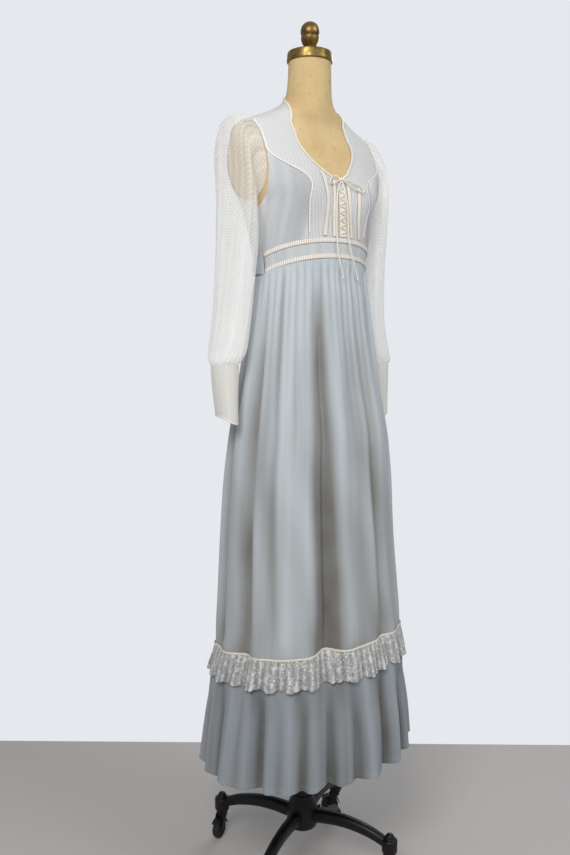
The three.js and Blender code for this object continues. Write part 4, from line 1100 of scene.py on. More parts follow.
class Wardrobe:
    """Finishes by their keys, and what every finished piece is told."""

    def __init__(self) -> None:
        """Builds the shared effects and all the finishes."""
        effects = Effects()
        finishes = {
            "voile": Cloth(
                "voile_cloth", tint(205, 215, 222), tint(122, 117, 110), tint(200, 207, 210), streak=0.1),
            # painted shade: a darker copy of the voile for the flounce, standing in for the shade on the
            # lower skirt
            "flounce_shade": Cloth(
                "flounce_shade_voile", tint(164, 173, 181), tint(98, 97, 96), tint(156, 162, 166), streak=0.1),
            "lined": Cloth(
                "lined_voile", tint(224, 227, 230), tint(158, 162, 168), tint(214, 216, 217), streak=0.1),
            "dotted": Cloth(
                "dotted_cloth", tint(222, 224, 226), tint(198, 197, 198), tint(230, 228, 225),
                dot_pitch=0.0074, dot_size=0.17, dot=tint(244, 244, 244), streak=0.1),
            "net": Cloth(
                "net_cloth", tint(252, 252, 252), tint(236, 235, 230), tint(250, 250, 248),
                dot_pitch=0.0088, dot_size=0.12, dot=tint(254, 254, 252), solid=0.26, streak=0.3,
                wrinkle=0.5, painted_glow=0.1),
            "cuff": Cloth(
                "cuff_cloth", tint(236, 235, 230), tint(222, 218, 208), tint(246, 244, 238),
                dot_pitch=0.0056, dot_size=0.18, dot=tint(252, 251, 247), solid=0.7, streak=0.2,
                painted_glow=0.06),
            "lace": Lace("lace_cloth", tint(253, 251, 248), tint(146, 151, 158), 0.0095),
            "satin": Satin("satin_ribbon", tint(247, 241, 230), tint(238, 229, 212)),
            "edging": Satin(
                "white_edging", tint(244, 242, 238), tint(232, 228, 220), 0.0024, tint(252, 252, 250)),
            "ladder": Satin(
                "ladder_ribbon", tint(222, 216, 206), tint(236, 208, 184), 0.0046, tint(252, 253, 252)),
            "zip": Satin("zip_tape_cloth", tint(196, 208, 216), tint(188, 200, 208)),
            "thread": Satin("sewing_thread", tint(236, 236, 232), tint(226, 224, 216)),
            "canvas": Canvas("form_linen", tint(226, 200, 150), tint(202, 170, 116), tint(140, 112, 74)),
            "brass": Hard(
                "aged_brass", tint(166, 139, 80), tint(100, 78, 42), tint(204, 178, 118), metal=0.9,
                roughness=0.3, patch_scale=60.0, grain=500.0),
            "iron": Hard(
                "black_iron", tint(18, 14, 13), tint(12, 10, 10), tint(52, 44, 38), metal=0.25,
                roughness=0.34, patch_scale=26.0, grain=700.0, bump=0.3, wear=0.3),
            "steel": Hard(
                "zip_metal", tint(150, 152, 152), tint(120, 120, 118), tint(206, 206, 204), metal=1.0,
                roughness=0.28, patch_scale=300.0),
            "tyre": Hard(
                "caster_rubber", tint(28, 27, 27), tint(38, 36, 35), tint(82, 78, 74), metal=0.0,
                roughness=0.62, patch_scale=60.0, grain=900.0, bump=0.2, wear=0.4),
        }
        self.made = {key: finish.make(effects) for key, finish in finishes.items()}

    def dress(
        self, obj: Piece, finish: str, slot: str, nodes: Sequence[str] = (), body: str = "figure",
    ) -> Piece:
        """Gives a piece its finish and body, and hides the nodes that it stands for.

        Args:
            obj: the piece
            finish: the finish's key
            slot: not used
            nodes: the nodes that it replaces
            body: the body that carries it

        Returns:
            The piece.
        """
        obj.data.materials.clear()
        obj.data.materials.append(self.made[finish])
        if nodes:
            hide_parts(*nodes)
        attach(obj, body)
        triangles = sum(len(face.vertices) - 2 for face in obj.data.polygons)
        LOG.info("%s: %d triangles on %s", obj.name, triangles, body)
        return obj

    def node(self, name: str, finish: str) -> None:
        """Gives a carried-over node its finish."""
        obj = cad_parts[name]
        obj.data.materials.clear()
        obj.data.materials.append(self.made[finish])

    def cloth(
        self, obj: Piece, finish: str, slot: str, nodes: Sequence[str],
    ) -> Piece:
        """Dresses a sheet of cloth of the figure.

        Args:
            obj: the sheet
            finish: the finish's key
            slot: not used
            nodes: the nodes that it replaces

        Returns:
            The sheet.
        """
        self.dress(obj, finish, slot, nodes)
        return obj


@dataclass
class DressForm:
    """Linen-covered torso without arms or head, its neck cap and its turned finial."""

    low: float = 905
    high: float = 1737
    rows: int = 150
    sink: float = 0.6
    seam_angles: tuple[float, ...] = (-180,)
    cap: tuple = (
        (46.6, 1737.3), (47.6, 1738), (48, 1740), (47.2, 1748), (47, 1754), (46.2, 1756.5), (43, 1758),
        (20, 1758.2),
    )
    knob: tuple = (
        (13, 1758.3), (13.2, 1760), (12.5, 1762.5), (10.8, 1764.5), (10.5, 1767), (11.6, 1770),
        (13.2, 1772), (15.6, 1775.5), (17.6, 1780), (18.8, 1785), (19, 1788.5), (18.4, 1790.8),
        (17.7, 1792), (18.6, 1793.4), (19.7, 1796.5), (19.9, 1800), (19.3, 1805), (17.6, 1810),
        (15, 1813.5), (12.4, 1816), (8.6, 1818.3), (4, 1819.6), (1, 1820),
    )

    def torso(self) -> Piece:
        """The torso: rings that the armhole planes cut flat."""
        z = np.linspace(self.low, self.high, self.rows)[:, None]
        half = FORM.at("half", z)
        edge = angle_at(np.minimum(ARMHOLE, half * 0.985), z)
        front = np.linspace(-1, 1, 45)[None, :-1] * edge
        left = mix(edge, 180 - edge, np.linspace(0, 1, 15)[None, :-1])
        back = 180 + np.linspace(-1, 1, 45)[None, :-1] * edge
        right = mix(180 + edge, 360 - edge, np.linspace(0, 1, 15)[None, :-1])
        angle = np.concatenate([front, left, back, right], 1)
        points = on_form(angle, z + 0 * angle, -self.sink)
        points[..., 0] = np.clip(points[..., 0], -ARMHOLE, ARMHOLE)
        seam = np.zeros_like(angle)
        for at in self.seam_angles:
            apart = np.abs((angle - at + 540) % 360 - 180) * np.radians(1) * half
            seam = np.maximum(seam, np.exp(-((apart / 1.2) ** 2)))
        obj = cloth_grid("torso", points, True, 0, seam)
        pick(obj)
        bpy.ops.object.mode_set(mode="EDIT")
        bpy.ops.mesh.select_all(action="DESELECT")
        bpy.ops.mesh.select_non_manifold()
        bpy.ops.mesh.edge_face_add()
        face_outwards()
        return obj

    def screw(self) -> Piece:
        """Small clamping screw at the side of the finial."""
        deselect()
        bpy.ops.mesh.primitive_cylinder_add(
            vertices=20, radius=2.6 * MM, depth=9 * MM, location=(14.5 * MM, 0, 1768 * MM),
            rotation=(0, math.pi / 2, 0))
        obj = bpy.context.object
        edge = obj.modifiers.new("edge", "BEVEL")
        edge.width, edge.segments = 0.5 * MM, 2
        apply_modifiers(obj)
        return settle(obj, "finial_screw")

    def build(self, wardrobe: Wardrobe) -> None:
        """Builds and dresses the form."""
        torso = wardrobe.dress(self.torso(), "canvas", "canvas", ["form_torso"])
        wardrobe.dress(turned("neck_ring", self.cap, 96), "brass", "brass", ["neck_cap"])
        knob = join("turned_finial", [turned("knob", self.knob, 64), self.screw()])
        wardrobe.dress(knob, "brass", "brass", ["finial"])


@dataclass
class Bodice:
    """Yokes, side fronts and backs, with the pipings along their seams."""

    rows: int = 90
    piping: float = 4.5
    piping_lift: float = TRIM_LIFT + SEAM + 1.0

    def front_yoke(self, side: Side) -> Piece:
        """Half of the front yoke, from the waistband to the neck."""
        v, u = spread(self.rows, 40)
        z = mix(WAIST_SIDE + WAIST_FRONT_RISE, FRONT_YOKE_TOP, v)
        inner = np.where(z <= NECK_DIP, angle_of(SEAM / 2, z), NECKLINE.at(side.word, z))
        edge = yoke_edge(z) - angle_of(SEAM / 2, z)
        angle = side.value * mix(inner, np.maximum(edge, inner + 1), u)
        z = mix(waist_top(angle) + SEAM, FRONT_YOKE_TOP, v)
        tuck = 0.25 * np.cos(np.abs(angle) * 1.9) * np.clip((1480 - z) / 40, 0, 1)
        points = on_form(angle, z, OUTER_LIFT + tuck)
        # the last argument is painted shade: darker where the tuck sinks in
        return cloth_grid(f"front_yoke_{side.word}", points, False, CLOTH, 0.5 - 2 * tuck)

    def back_yoke(self, side: Side) -> Piece:
        """Half of the back yoke, from the back seam over the shoulder to the collar's end."""
        v, u = spread(50, 50)
        z = mix(BACK_YOKE, BACK_YOKE_TOP, v) + 0 * u
        start = np.maximum(180 - yoke_edge(z), NECKLINE.at(side.word, z)) + angle_of(SEAM / 2, z)
        angle = side.value * mix(start, 180 - angle_of(SEAM / 2, z), u)
        return cloth_grid(f"back_yoke_{side.word}", on_form(angle, z, OUTER_LIFT), False, CLOTH)

    def side_front(self, side: Side) -> Piece:
        """Side front panel, softly gathered into the yoke seam."""
        v, u = spread(self.rows, 60)
        top = YOKE_CORNER - 3
        z = mix(WAIST_SIDE + WAIST_FRONT_RISE, top, v)
        start = yoke_edge(z) + angle_of(SEAM, z)
        end = np.maximum(angle_at(ARMHOLE, z) - angle_of(SEAM / 2, z), start + 0.6)
        angle = side.value * mix(start, end, u)
        z = mix(waist_top(angle) + SEAM, top, v)
        edge = np.minimum(np.minimum(u, 1 - u) * 8, 1) * np.minimum(np.minimum(v, 1 - v) * 10 + 0.3, 1)
        slant = angle * 5 + side.value * (z - YOKE_CORNER) * 0.9
        waves = ripple(slant, z, [(1.0, 0.55, 0.9), (2.3, 0.35, 0.7), (4.1, 0.15, 0.9)], 2.0 + side.value)
        lift = 1.7 * (waves + 0.8) * edge
        # painted shade: darker where the ripples sink in
        depth = np.clip(0.3 - 0.55 * waves, 0, 1)
        points = on_form(angle, z, OUTER_LIFT + lift)
        return cloth_grid(f"side_panel_{side.word}", points, False, CLOTH, depth)

    def back(self, side: Side) -> Piece:
        """Back panel beside the zip."""
        v, u = spread(self.rows, 60)
        top = BACK_YOKE - SEAM
        z = mix(WAIST_SIDE - WAIST_BACK_DROP, top, v)
        start = 180 - angle_at(ARMHOLE, z) + angle_of(SEAM / 2, z)
        angle = side.value * mix(start, 180 - angle_of(SEAM / 2, z), u)
        z = mix(waist_top(angle) + SEAM, top, v)
        edge = np.minimum(u * 8, 1) * np.clip((1 - u) * 5 - 0.6, 0, 1)
        edge = edge * np.minimum(np.minimum(v, 1 - v) * 10, 1)
        waves = ripple(angle * 5, z, [(1.0, 0.5, 0.8), (2.1, 0.35, 0.5)], 4.0 + side.value)
        # painted shade: darker where the ripples sink in
        depth = np.clip(0.4 - 0.6 * waves, 0, 1)
        points = on_form(angle, z, OUTER_LIFT + 0.7 * (waves + 0.5) * edge)
        return cloth_grid(f"back_panel_{side.word}", points, False, CLOTH, depth)

    def neck_route(self, side: Side) -> tuple[Array, Array]:
        """Line along the neckline, from the dip to the nape."""
        z = np.array([
            1490, 1500, 1512, 1526, 1542, 1561, 1580, 1600, 1613, 1625, 1637, 1647, 1656, 1663, 1668.0,
        ])
        inset = NECKLINE.at(side.word, z) + angle_of(self.piping / 2, z)
        return form_route(np.stack([side.value * inset, z], 1), 140)

    def seam_route(self, side: Side) -> tuple[Array, Array]:
        """Line along the yoke's outer seam and the armhole."""
        z = np.array([
            1376, 1405, 1437, 1458, 1474, 1484, 1492, 1500, 1508, 1516, 1525, 1535, 1550, 1575, 1597.0,
        ])
        inset = yoke_edge(z) - angle_of(self.piping / 2 + 0.6, z)
        return form_route(np.stack([side.value * inset, z], 1), 140)

    def build(self, wardrobe: Wardrobe) -> None:
        """Builds and dresses the bodice."""
        lines = []
        for side in Side:
            word = side.word
            edges = []
            for part, (base, normals), width, look in (
                ("neck", self.neck_route(side), self.piping, "satin"),
                ("yoke", self.seam_route(side), self.piping - 1, "edging"),
            ):
                grid = trim_grid(base, normals, width, self.piping_lift - 0.35, 0.5)
                edge = cloth_grid(f"{part}_edge_{word}", grid, False, 1.0)
                edges.append(wardrobe.dress(edge, look, "satin", [f"{part}_piping_{word}"]))
                along = np.gradient(base, axis=0)
                across = np.cross(normals, along)
                across /= np.linalg.norm(across, axis=1, keepdims=True)
                for shift in (-0.36, 0.36):
                    line = base + across * width * shift + normals * (self.piping_lift - 0.1)
                    lines.append((line, normals))
            for obj, node, finish, pieces in (
                (self.front_yoke(side), f"yoke_front_{word}", "dotted", edges),
                (self.back_yoke(side), f"yoke_back_{word}", "dotted", []),
                (self.side_front(side), f"side_front_{word}", "lined", []),
                (self.back(side), f"bodice_back_{word}", "lined", []),
            ):
                slot = "voile" if finish == "lined" else finish
                wardrobe.cloth(obj, finish, slot, [node])
        wardrobe.dress(stitch_rows("bodice_stitches", lines, 2.6), "thread", "satin")


@dataclass
class Front:
    """Ribbons sewn down the front, the laced placket, and the cord tied in a bow."""

    ribbon: float = 7.5
    ribbon_lift: float = FRONT_LIFT + 1.35
    middle: float = 4
    half: float = 9
    low: float = 1371.5
    high: float = 1478
    crossings: int = 14
    cord: float = 1.3
    lace: float = 0.9
    knot: tuple[float, float, float] = (3, 1484, 9)

    def route(self, points: Sequence[Sequence[float]], count: int) -> Array:
        """Smooth line through places on the front given by x, height and lift."""
        fine = smooth_route(points, count)
        return on_front(fine[:, 0], fine[:, 1], fine[:, 2])

    def ribbons(self, wardrobe: Wardrobe) -> tuple[list[Piece], list[tuple[Array, Array]]]:
        """Builds the four ribbons, and gives them back with the lines of their stitches."""
        pieces, lines = [], []
        for node, path in FRONT_RIBBONS.items():
            places = [(math.copysign(float(angle_at(abs(x), np.array(float(z)))), x), z) for x, z in path]
            base, normals = form_route(places, 60)
            grid = trim_grid(base, normals, self.ribbon, self.ribbon_lift - 0.25, 0.25)
            ribbon = cloth_grid(node.replace("ribbon", "front_ribbon"), grid, False, 1.0)
            pieces.append(wardrobe.dress(ribbon, "satin", "satin", [node]))
            for edge in (0, -1):
                line = mix(grid[:, edge], grid[:, 3], 0.3)
                lines.append((line + normals * 0.15, normals))
        return pieces, lines

    def placket(self, wardrobe: Wardrobe, ribbons: Sequence[Piece]) -> list[tuple[Array, Array]]:
        """Builds the placket and its lacing beside the ribbons, and gives back its lines of stitches."""
        v, u = np.linspace(0, 1, 70)[:, None], np.linspace(-1, 1, 17)[None, :]
        x, z = self.middle + self.half * u + 0 * v, mix(self.low, self.high, v) + 0 * u
        points = on_front(x, z, TRIM_LIFT + SEAM + 1.0)
        count = self.crossings
        shares = [i / (count - 1) for i in range(count)]
        turns = [(self.middle + (6.5 if i % 2 else -6.5), mix(self.low + 5, self.high - 8, share), 4.95)
                 for i, share in enumerate(shares)]
        lacing = cord_tube("lacing_cord", self.route(turns, count * 9), self.lace)
        wardrobe.dress(lacing, "satin", "satin", ["lacing"])
        placket = cloth_grid("laced_placket", points, False, 1.0)
        wardrobe.cloth(placket, "satin", "satin", ["placket"])
        normals = on_front(x, z, 1.0) - on_front(x, z, 0.0)
        return [(points[:, i] + normals[:, i] * 0.15, normals[:, i]) for i in (1, -2)]

    def knot_piece(self) -> Piece:
        """The bow's knot, with the turn of cord round it."""
        at = on_front(np.array(self.knot[0]), np.array(self.knot[1]), np.array(self.knot[2])) * MM
        deselect()
        bpy.ops.mesh.primitive_uv_sphere_add(segments=48, ring_count=32, radius=3.6 * MM, location=tuple(at))
        obj = bpy.context.object
        for vertex in obj.data.vertices:
            x, y, z = vertex.co / (3.6 * MM)
            groove = 1 - 0.1 * math.exp(-((x / 0.12 - 2.2) ** 2)) - 0.1 * math.exp(-((x / 0.12 + 2.2) ** 2))
            vertex.co = Vector((x * 1.3, y * 0.9 * groove, z * groove)) * 3.6 * MM
        return settle(obj, "bow_knot")

    def tail(self, name: str, path: Sequence[Sequence[float]]) -> tuple[Piece, Array, Piece]:
        """One hanging end of the cord, its line, and the knot at its tip."""
        line = self.route(path, 60)
        obj = cord_tube(name.replace("lace_tail", "cord_end"), line, self.cord)
        tip = Vector(line[-1] * MM)
        deselect()
        bpy.ops.mesh.primitive_uv_sphere_add(segments=24, ring_count=16, radius=2.1 * MM, location=tip)
        knot = bpy.context.object
        for vertex in knot.data.vertices:
            twist = 1 + 0.12 * math.sin(vertex.co.z / (0.5 * MM) + 2 * math.atan2(vertex.co.y, vertex.co.x))
            vertex.co = Vector((vertex.co.x * twist, vertex.co.y * twist, vertex.co.z * 1.2))
        return obj, line, settle(knot, name.replace("lace_tail", "cord_tip"))

    def bow(self, wardrobe: Wardrobe) -> None:
        """Builds the bow and its two hanging ends as real cords."""
        loops = []
        for i, loop in enumerate(BOW_LOOPS):
            line = self.route(loop, 90)
            obj = cord_tube(f"bow_loop_{i + 1}", line, self.cord)
            loops.append(wardrobe.dress(obj, "satin", "satin"))
        wardrobe.dress(self.knot_piece(), "satin", "satin", ["lace_bow"])
        for name, path in CORD_TAILS.items():
            obj, line, knot = self.tail(name, path)
            wardrobe.dress(obj, "satin", "satin", [name])
            wardrobe.dress(knot, "satin", "satin")

    def build(self, wardrobe: Wardrobe) -> None:
        """Builds what is sewn on the front."""
        ribbons, lines = self.ribbons(wardrobe)
        lines += self.placket(wardrobe, ribbons)
        wardrobe.dress(stitch_rows("front_stitches", lines, 2.6), "thread", "satin")


@dataclass
class Waist:
    """Waistband with its two ladder ribbons, and the ties that meet behind."""

    tie_lift: float = 5.9
    tie_thick: float = 2.0
    knot: tuple[float, float, float, float, float] = (97.6, 1300, 15, 8.5, 13)

    def band(
        self, name: str, ends: tuple[float, float], low: Callable, high: Callable, lift: float,
        thick: float, cols: int = 240, rows: int = 12, crown: float = 0.0,
    ) -> Piece:
        """A band round the waist.

        Args:
            name: the piece's name
            ends: the angles that it runs between
            low: gives the height of its lower edge at an angle
            high: gives the height of its upper edge at an angle
            lift: distance of its outer face from the form
            thick: its thickness
            cols: points along it
            rows: points across it
            crown: how far its middle stands out

        Returns:
            The piece.
        """
        angle = np.linspace(*ends, cols)[None, :]
        v = np.linspace(0, 1, rows)[:, None]
        z = mix(low(angle), high(angle), v)
        crease = 0.12 * ripple(angle * 2, z, [(9.0, 1.0, 0.4), (17.0, 0.7, 0.3)], 1.4)
        points = on_form(angle + 0 * v, z, lift + (crown + crease) * 4 * v * (1 - v))
        # the last argument is painted shade that follows the creases
        return cloth_grid(name, points, False, thick, 0.3 + crease)

    def tie(self, side: Side) -> Piece:
        """Tie over the back waistband, drawn in towards the knot."""
        angle = np.linspace(TIE_RUN.key[0], TIE_RUN.key[-1], 160)[None, :]
        v = np.linspace(0, 1, 26)[:, None]
        low = waist_low(angle) + TIE_RUN.at("low", angle)
        high = waist_top(angle) - TIE_RUN.at("high", angle)
        drawn = np.clip((angle - 90) / 40, 0, 1)
        pleats = drawn * (0.5 + 0.5 * np.cos(2 * np.pi * (3.2 * v + 0.25 * np.sin(angle * 0.07))))
        points = on_form(side.value * angle + 0 * v, mix(low, high, v), self.tie_lift - 1.1 * pleats)
        # the last argument is painted shade: darker in the pleats' hollows
        return cloth_grid(f"waist_tie_{side.word}", points, False, self.tie_thick - 0.9, 0.9 * pleats)

    def tie_knot(self) -> Piece:
        """Knot of the ties, creased where the cloth turns over itself."""
        y, z, wide, deep, tall = self.knot
        deselect()
        bpy.ops.mesh.primitive_uv_sphere_add(
            segments=96, ring_count=64, radius=MM, location=(0, y * MM, z * MM))
        obj = bpy.context.object
        for vertex in obj.data.vertices:
            a, b, c = vertex.co / MM
            lines = 0.1 * (0.5 + 0.5 * math.cos(13 * c + 3.2 * a)) * (1 - abs(a))
            crease = 1 - lines - 0.12 * math.exp(-((a - 0.1 * c) / 0.09) ** 2)
            vertex.co = Vector((a * wide, b * deep * crease, c * tall * crease)) * MM
        shade = obj.data.attributes.new("fold", "FLOAT", "POINT")
        for vertex, value in zip(obj.data.vertices, shade.data):
            value.value = max(0.0, min(1.0, 0.6 - (vertex.co / MM).length / 22))
        obj.data.uv_layers[0].name = "cut"
        return settle(obj, "sash_knot", 60)

    def tie_end(self, node: str, side: int, path: Sequence[Sequence[float]]) -> Piece:
        """One hanging end of the ties, gathered at the knot and opening downwards."""
        rows, cols = 90, 25
        line = smooth_route(path, rows)
        width = np.interp(np.linspace(0, 6, rows), np.arange(7), TIE_END_WIDTHS)[:, None]
        s = np.linspace(-0.5, 0.5, cols)[None, :]
        v = np.linspace(0, 1, rows)[:, None]
        x = side * line[:, :1] + s * width
        z = line[:, 1:] + 0 * s
        out = np.maximum(back_out(x, z), back_out(0 * x, z)) + 5 + 6 * np.exp(-((v / 0.09) ** 2))
        folds = 0.5 + 0.5 * np.cos(2 * np.pi * (2.4 * s + 0.3 * np.sin(v * 7)))
        y = out + 1.2 * (1 - (2 * s) ** 2) + 1.1 * folds * (1 - 0.4 * v)
        points = np.stack([x, y, z], -1)
        # the last argument is painted shade: darker between the folds
        return cloth_grid(node.replace("tie_end", "sash_end"), points, False, 1.0, 0.8 * (1 - folds))

    def build(self, wardrobe: Wardrobe) -> None:
        """Builds the waistband, its ribbons and the ties."""
        front = (-BAND_END, BAND_END)
        lines, ribbons = [], []
        outer = TRIM_LIFT + SEAM + 1.0
        for part, low, high in (
            ("upper", lambda a: waist_top(a) - RIBBON_WIDTH, waist_top),
            ("lower", lambda a: waist_low(a) + 2 * SEAM, lambda a: waist_low(a) + RIBBON_WIDTH),
        ):
            piece = self.band(f"{part}_ladder_ribbon", front, low, high, outer - 0.2, 1.0, 400, 7, 0.25)
            ribbons.append(wardrobe.dress(piece, "ladder", "satin", [f"band_ribbon_{part}"]))
            angle = np.linspace(*front, 300)
            for share in (0.1, 0.9):
                z = mix(low(angle), high(angle), share)
                base = form_point(angle, z)
                normals = on_form(angle, z, 1.0) - base
                lines.append((base + normals * (outer + 0.02), normals))
        band = self.band("front_waistband", front, waist_low, waist_top, OUTER_LIFT, CLOTH)
        wardrobe.cloth(band, "lined", "voile", ["waistband_front"])
        for side in Side:
            ends = (side.value * (BAND_END + 0.2), side.value * 179.8)
            back = self.band(f"back_waistband_{side.word}", ends, waist_low, waist_top, OUTER_LIFT, CLOTH)
            wardrobe.cloth(back, "voile", "voile", [f"waistband_back_{side.word}"])
        knot = wardrobe.dress(self.tie_knot(), "voile", "voile", ["tie_knot"])
        for side in Side:
            wardrobe.cloth(self.tie(side), "voile", "voile", [f"tie_{side.word}"])
        for node, (direction, path) in TIE_ENDS.items():
            end = self.tie_end(node, direction, path)
            wardrobe.cloth(end, "voile", "voile", [node])
        wardrobe.dress(stitch_rows("waist_stitches", lines, 2.6), "thread", "satin")


@dataclass
class Skirt:
    """Gathered skirt, its flounce, and the lace ruffle over the seam between them."""

    cols: int = 432
    rows: int = 100
    flounce_rows: int = 56
    hem_fold: float = 9
    lace_cols: int = 1080
    scallops: int = 108
    skirt_waves: tuple = ((9, 2.4, 1.3), (17, 1.5, 0.9), (33, 0.6, 1.1))
    flounce_waves: tuple = ((13, 2.2, 0.9), (31, 1.3, 0.8), (57, 0.7, 0.7))

    def angles(self, count: int) -> Array:
        """Angles of the columns, from the centre back round to it."""
        return (np.arange(count) * 360 / count - 180)[None, :]

    def skirt(self) -> Piece:
        """The skirt down to the flounce's seam."""
        angle = self.angles(self.cols)
        t = np.linspace(0, 1, self.rows)[:, None] ** 1.35
        z = mix(waist_low(angle) - SEAM, lace_seam(angle) + SEAM / 2, t)
        begin = np.minimum(t / 0.3, 1)
        sharp = crease(SKIRT_HOLLOWS, angle, np.minimum(t * 1.2, 1)) * begin * (2 - begin)
        main = mix(sharp, skirt_depth(angle, t), np.clip((t - 0.9) / 0.1, 0, 1))
        start = np.minimum(t * 30, 1)
        pleats = gather(angle, t) * start
        beside = zip_gap(angle)
        calm = np.clip(t / 0.4, 0, 1) ** 1.2 * np.clip((1 - t) / 0.05, 0, 1) * beside
        waves = ripple(angle, z, self.skirt_waves, 3.0) * calm
        wander = np.radians(angle * 47 + 75 * sind(angle * 3 + 20) + 45 * sind(angle * 7) + 40 * t)
        fade = np.exp(-t * mix(9, 3.2, 0.5 + 0.5 * sind(angle * 5.0)))
        small = (3.4 * (0.5 + 0.5 * np.cos(wander)) ** 2 - 1.2) * fade * start * beside
        room = 1.8 + 70 * t + 160 * t ** 2
        depth = room - np.log1p(np.exp((room - main + 0.8 * pleats - waves - small) / 1.5)) * 1.5
        shade = np.clip(main / 26, 0, 1) ** 0.9 + 0.1 * waves + 0.2 * small - 0.08 * pleats + 0.26 * t
        return cloth_grid("skirt_cloth", skirt_point(angle + 0 * t, z, depth), True, CLOTH, shade)

    def flounce(self) -> Piece:
        """The flounce, with its hem turned up."""
        angle = self.angles(self.cols)
        v = np.linspace(0, 1, self.flounce_rows)[:, None]
        points = flounce_point(angle, v + 0 * angle)
        own = hollow(FLOUNCE_HOLLOWS, angle, v) * np.minimum(v * 3, 1)
        waves = ripple(angle, points[..., 2], self.flounce_waves, 7.0) * np.minimum(v / 0.22, 1) ** 2
        sharper = crease(FLOUNCE_HOLLOWS, angle, v) - hollow(FLOUNCE_HOLLOWS, angle, v)
        waves += sharper * np.clip(v * 4 - 1, 0, 1)
        long = LACE_LEVEL - HEM_LEVEL
        turned_up = 0.45 * np.clip((v - 1 + self.hem_fold / long) * 120, 0, 1)
        push_out(points, angle, turned_up - waves)
        shade = np.clip(own / 26 + 0.1, 0, 1) ** 0.8 + 0.1 * waves
        return cloth_grid("flounce_cloth", points, True, CLOTH, shade)

    def hem_line(self, drop: float, lift: float) -> tuple[Array, Array]:
        """Line of stitches round the flounce, a distance above the hem."""
        angle = self.angles(self.cols)
        v = np.full_like(angle, 1 - drop / (LACE_LEVEL - HEM_LEVEL))
        points = flounce_point(angle, v)
        waves = ripple(angle, points[..., 2], self.flounce_waves, 7.0)
        waves += crease(FLOUNCE_HOLLOWS, angle, v) - hollow(FLOUNCE_HOLLOWS, angle, v)
        normal = np.stack([sind(angle), -cosd(angle), 0 * angle], -1)
        points = points + normal * (lift - waves)[..., None]
        return points[0], normal[0]

    def lace(self) -> Piece:
        """Lace ruffle: gathered at its heading, waved and scalloped at its lower edge."""
        angle = self.angles(self.lace_cols)
        drop = np.concatenate([np.linspace(-4, 7, 6), np.linspace(12, 55, 14)])[:, None]
        long = LACE_LEVEL - HEM_LEVEL
        z = lace_seam(angle) - drop
        above = skirt_point(angle + 0 * drop, z, skirt_depth(angle, np.ones_like(z)))
        below = flounce_point(angle, np.maximum(drop, 0) / long + 0 * angle)
        points = np.where((drop < 0)[..., None], above, below)
        wave = 0.5 + 0.5 * np.cos(np.radians(angle * LACE_WAVES + 30 * sind(angle * 2)))
        rise = np.interp(drop, [-4, 7, 55], [0.5, 0.9, 2.6])
        size = np.interp(drop, [-4, 7, 55], [0.4, 1.5, 7])
        share = np.clip(drop / 55, 0, 1)
        turn = np.radians(angle * 89 + 60 * sind(angle * 4) + 30 * sind(angle * 9))
        fine = (1.5 * share + 0.35) * np.cos(turn) * (0.7 + 0.3 * sind(angle * 13))
        lift = rise + NET + size * wave + fine + 1.2 * share
        push_out(points, angle, lift)
        scallop = np.abs(np.cos(np.radians(angle * self.scallops / 2)))
        points[..., 2] -= share ** 6 * (4 * wave + 2.4 * scallop - 1.2)
        shade = 0.5 * (1 - wave) * share + 0.3 - 0.35 * np.cos(turn)
        return cloth_grid("lace_frill", points, True, 0.6, shade)

    def heading(self) -> Piece:
        """Narrow satin band that holds the lace's heading."""
        angle = self.angles(self.cols)
        drop = np.linspace(-4.2, 0.2, 5)[:, None]
        z = lace_seam(angle) - drop
        points = skirt_point(angle + 0 * drop, z, skirt_depth(angle, np.ones_like(z)))
        lift = 3.1 + 0.3 * np.cos(np.radians(angle * 150)) + 0.4 * (1 - ((drop + 2) / 2.4) ** 2)
        push_out(points, angle, lift)
        return cloth_grid("lace_heading", points, True, 0.8)

    def build(self, wardrobe: Wardrobe) -> None:
        """Builds the skirt, flounce and lace."""
        wardrobe.cloth(self.skirt(), "voile", "voile", ["skirt"])
        # the flounce takes the darker copy of the voile, with painted shade
        wardrobe.cloth(self.flounce(), "flounce_shade", "voile", ["flounce"])
        heading = wardrobe.dress(self.heading(), "satin", "satin")
        lace = self.lace()
        wardrobe.cloth(lace, "lace", "lace", ["lace_ruffle"])
        stitches = stitch_rows("hem_stitches", [self.hem_line(self.hem_fold, 0.1)], 4.0)
        wardrobe.dress(stitches, "thread", "voile")


def armhole_point(t: Array, out: float) -> Array:
    """Point of the armhole's edge, t turning from the shoulder through the front."""
    z = mix(UNDERARM + 0.5, SHOULDER - 0.5, 0.5 + 0.5 * np.cos(t))
    half, flat = FORM.at("half", z), FORM.at("flat", z)
    front, back = FORM.at("front", z), FORM.at("back", z)
    room = np.maximum(1 - (ARMHOLE / half) ** flat, 0) ** (1 / flat)
    reach = (back + front) / 2 * room * np.where(np.sin(t) > 0, -1, 1)
    return np.stack([out + 0 * z, (back - front) / 2 + reach, z], -1)


